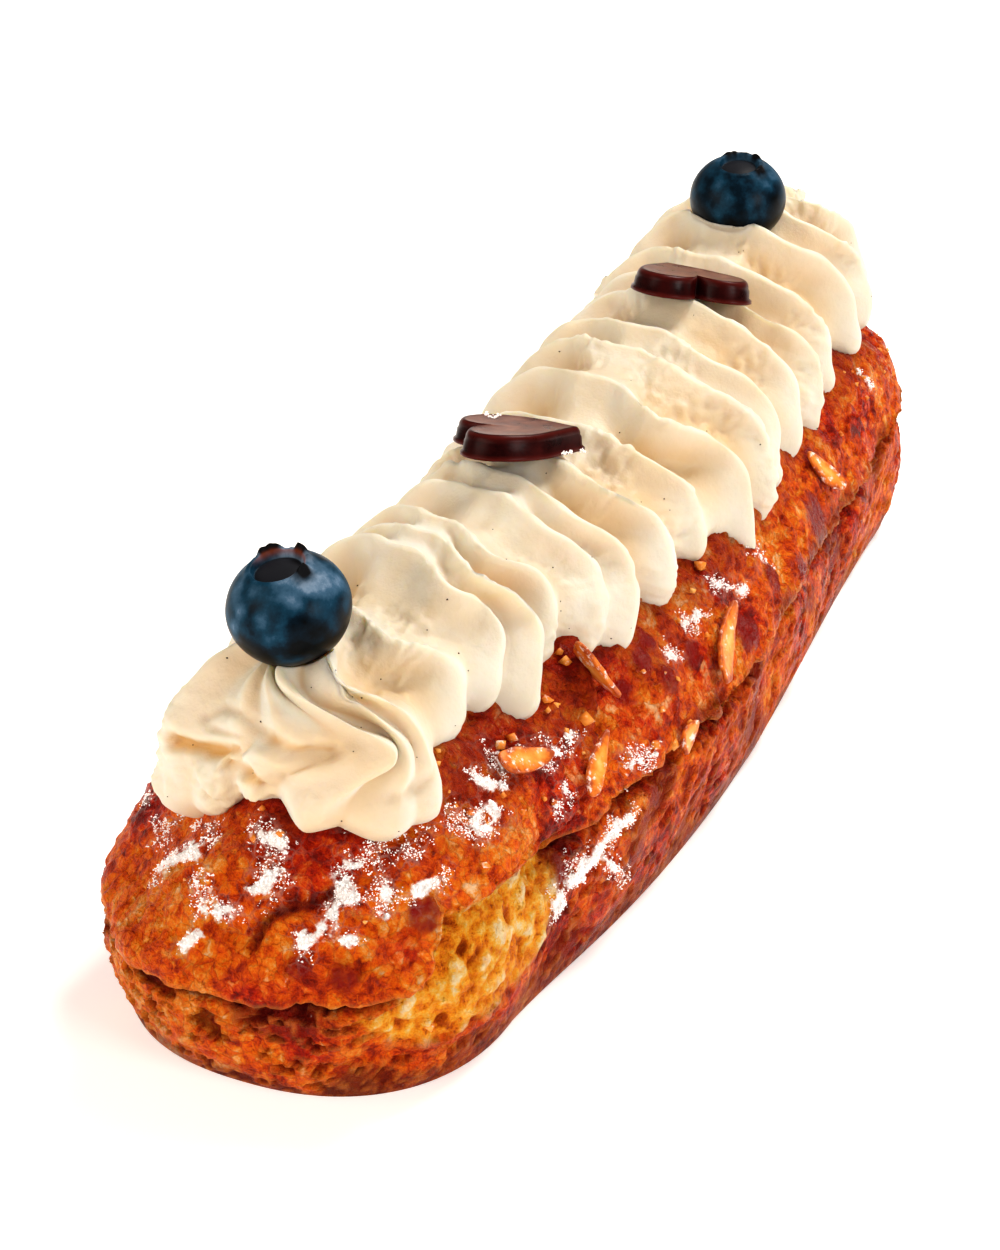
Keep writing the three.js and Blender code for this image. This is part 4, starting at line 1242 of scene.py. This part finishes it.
def flake_rings(long, wide, seed):
    """A thin slice of almond: an oval with one pointed end, worn edges and a slight curl."""
    around = np.linspace(0, 2 * np.pi, 56, endpoint=False)
    outline = np.stack([np.cos(around), np.sin(around) * (1 - 0.3 * np.cos(around))], -1) * [long, wide]
    flat = np.column_stack([outline, 0 * around])
    outline = outline * (1 + 0.09 * rough(flat, 1.6, seed))[:, None]
    under = [(-1, 0.0), (-1, 0.5), (-1, 0.94), (-0.7, 0.99), (0, 1.0)]
    levels = under + [(0.7, 0.98), (1, 0.93), (1, 0.65), (1, 0.3), (1, 0.0)]
    rings = stacked(outline, [(0.5 * FLAKE_THICK * z, share) for z, share in levels])
    rings[..., 2] += 0.1 * long * np.square(rings[..., 0] / long) + 0.12 * rough(rings, 1.8, seed + 1)
    edge = np.array([share for _, share in levels])[:, None] + 0 * rings[..., 0]
    return rings, edge


def joined(name, parts, material):
    """One piece from many small meshes: points in mm, faces, and a tone for each."""
    points, faces, tones = [], [], []
    start = 0
    for part_points, part_faces, tone in parts:
        points.append(part_points)
        faces += (np.asarray(part_faces) + start).tolist()
        tones.append(np.broadcast_to(tone, len(part_points)))
        start += len(part_points)
    mesh = bpy.data.meshes.new(name)
    mesh.from_pydata(in_part(np.concatenate(points)), [], faces)
    add_mask(mesh, "tone", np.concatenate(tones))
    mesh.shade_smooth()
    return piece(name, mesh, material)


def make_flakes(material):
    parts = []
    for i, (along, side, z, spin, long, wide) in enumerate(FLAKES):
        rings, edge = flake_rings(long, wide, 60 + i)
        here, frame_axes = crust_frame(along, side, z)
        spun = rings @ np.array(Matrix.Rotation(np.radians(spin), 3, "Z")).T + [0, 0, FLAKE_LIFT]
        parts.append(((spun @ frame_axes + here).reshape(-1, 3), ring_faces(*rings.shape[:2]), edge.ravel()))
    return joined("almond_flakes", parts, material)


PEBBLE = [(1, 0, 0), (-1, 0, 0), (0, 1, 0), (0, -1, 0), (0, 0, 1), (0, 0, -1)]
PEBBLE_FACES = [(0, 2, 4), (2, 1, 4), (1, 3, 4), (3, 0, 4), (2, 0, 5), (1, 2, 5), (3, 1, 5), (0, 3, 5)]


def pebble(draw, at, size):
    """A small uneven grain about that big in mm."""
    shape = np.array(PEBBLE) * draw.uniform(0.55, 1.0, (6, 1)) * size
    turn = np.linalg.qr(draw.normal(size=(3, 3)))[0]
    return shape @ turn * [1, 1, 0.8] + at


def make_nibs(point, tree, material):
    """Broken bits of almond and crust on the bun: those of the photo, and scattered ones by the cream."""
    draw = np.random.default_rng(8)
    parts = []
    for pixel in NIBS_SEEN:
        place = seen_at(pixel, tree)
        if place is not None:
            parts.append((pebble(draw, place, draw.uniform(0.7, 1.3)), PEBBLE_FACES, draw.uniform(0.2, 0.9)))
    height = point[:, :, 2].mean(1)
    rows = np.where((height > NIB_HEIGHTS[0]) & (height < NIB_HEIGHTS[1]))[0]
    for _ in range(LOOSE_NIBS):
        place = point[draw.choice(rows), draw.integers(point.shape[1])]
        parts.append((pebble(draw, place, draw.uniform(0.3, 0.75)), PEBBLE_FACES, draw.uniform(0, 0.8)))
    return joined("almond_nibs", parts, material)


THICK_GRAINS = 3500
LOOSE_GRAINS = 9000
HEART_CLUMP = 7  # grains at each of these pixels
HEART_SUGAR_SEEN = [(487, 415), (491, 417), (498, 416), (563, 453)]
HEART_SUGAR_SEEN += [(566, 455), (569, 452), (583, 441), (582, 450)]
VANILLA_SPECKS = 130


def make_sugar(point, normal, sugar, dust, heart_sight, material):
    """Grains of icing sugar: clumped where it lies thick, loose round that, and a few on the near heart."""
    draw = np.random.default_rng(9)
    thick = np.argwhere(sugar > 0.5)
    loose = np.argwhere(dust + 0.25 * draw.uniform(-1, 1, dust.shape) > 0.4)
    parts = []
    for places, count, big in ((thick, THICK_GRAINS, 0.2), (loose, LOOSE_GRAINS, 0.16)):
        for i, j in places[draw.integers(len(places), size=count)]:
            place = point[i, j] + normal[i, j] * 0.03 + draw.normal(0, 0.15, 3)
            parts.append((pebble(draw, place, draw.uniform(0.06, big)), PEBBLE_FACES, 1))
    for pixel in HEART_SUGAR_SEEN:
        place = seen_at(pixel, heart_sight)
        if place is not None:
            for _ in range(HEART_CLUMP):
                near = place + draw.normal(0, 0.22, 3) * [1, 1, 0.4]
                parts.append((pebble(draw, near, draw.uniform(0.12, 0.3)), PEBBLE_FACES, 1))
    return joined("icing_sugar", parts, material)


def make_specks(point, normal, material):
    """Vanilla seeds in the cream."""
    draw = np.random.default_rng(10)
    parts = []
    for _ in range(VANILLA_SPECKS):
        i, j = draw.integers(8, point.shape[0] - 4), draw.integers(point.shape[1])
        place = point[i, j] + normal[i, j] * 0.02
        parts.append((pebble(draw, place, draw.uniform(0.08, 0.2)), PEBBLE_FACES, 0))
    return joined("vanilla_specks", parts, material)


# Studio


FLOOR = 3  # metres, like the lamps
# Soft boxes: place, size across, power in watts and colour
LAMPS = {
    "key": ((0.38, -0.12, 0.60), 0.26, 3.9, "#fffaf4"),
    "right_key": ((-0.20, -0.70, 0.34), 0.30, 2.4, "#fffdfb"),
    "left_fill": ((-0.50, 0.45, 0.46), 0.5, 1.9, "#fff4e8"),
    "near_fill": ((-0.70, 0.16, 0.16), 0.5, 1.5, "#fff6ec"),
}


def make_studio():
    corners = [(x * FLOOR, y * FLOOR, 0) for x, y in ((-1, -1), (1, -1), (1, 1), (-1, 1))]
    floor_mesh = bpy.data.meshes.new("floor")
    floor_mesh.from_pydata(corners, [], [(0, 1, 2, 3)])
    floor_mesh.materials.append(make_material(white_card))
    floor = bpy.data.objects.new("floor", floor_mesh)
    bpy.context.scene.collection.objects.link(floor)
    for name, (place, size, power, colour) in LAMPS.items():
        light = bpy.data.lights.new(name, "AREA")
        light.size = size
        light.energy = power
        light.color = srgb(colour)[:3]
        lamp = bpy.data.objects.new(name, light)
        lamp.location = place
        lamp.rotation_euler = (Vector((0, 0, 0.02)) - Vector(place)).to_track_quat("-Z", "Y").to_euler()
        bpy.context.scene.collection.objects.link(lamp)
    world = bpy.data.worlds.new("studio")
    world.use_nodes = True
    sky = world.node_tree.nodes["Background"]
    sky.inputs["Color"].default_value = srgb("#ffeedd")
    sky.inputs["Strength"].default_value = 0.24
    scene = bpy.context.scene
    scene.world = world
    scene.view_settings.view_transform = "Standard"
    scene.view_settings.look = "Medium High Contrast"


make_camera()
make_studio()
crust_points, crust_normals, crust_sugar, crust_dust, crust_sight = make_bun(make_material(baked_choux_crust))
cream_points_seen, cream_normals = make_cream(make_material(whipped_vanilla_cream))
berry_skin = make_material(waxy_berry_skin)
chocolate = make_material(moulded_dark_chocolate)
almond = make_material(toasted_almond)
for node, berry in BERRIES.items():
    make_berry(node, *berry, berry_skin)
heart_sights = {node: make_heart(node, place, chocolate) for node, place in HEARTS.items()}
make_flakes(almond)
make_nibs(crust_points, crust_sight, almond)
sugar = make_material(dusted_icing_sugar)
make_sugar(crust_points, crust_normals, crust_sugar, crust_dust, heart_sights["heart_near"], sugar)
make_specks(cream_points_seen, cream_normals, make_material(vanilla_seed))
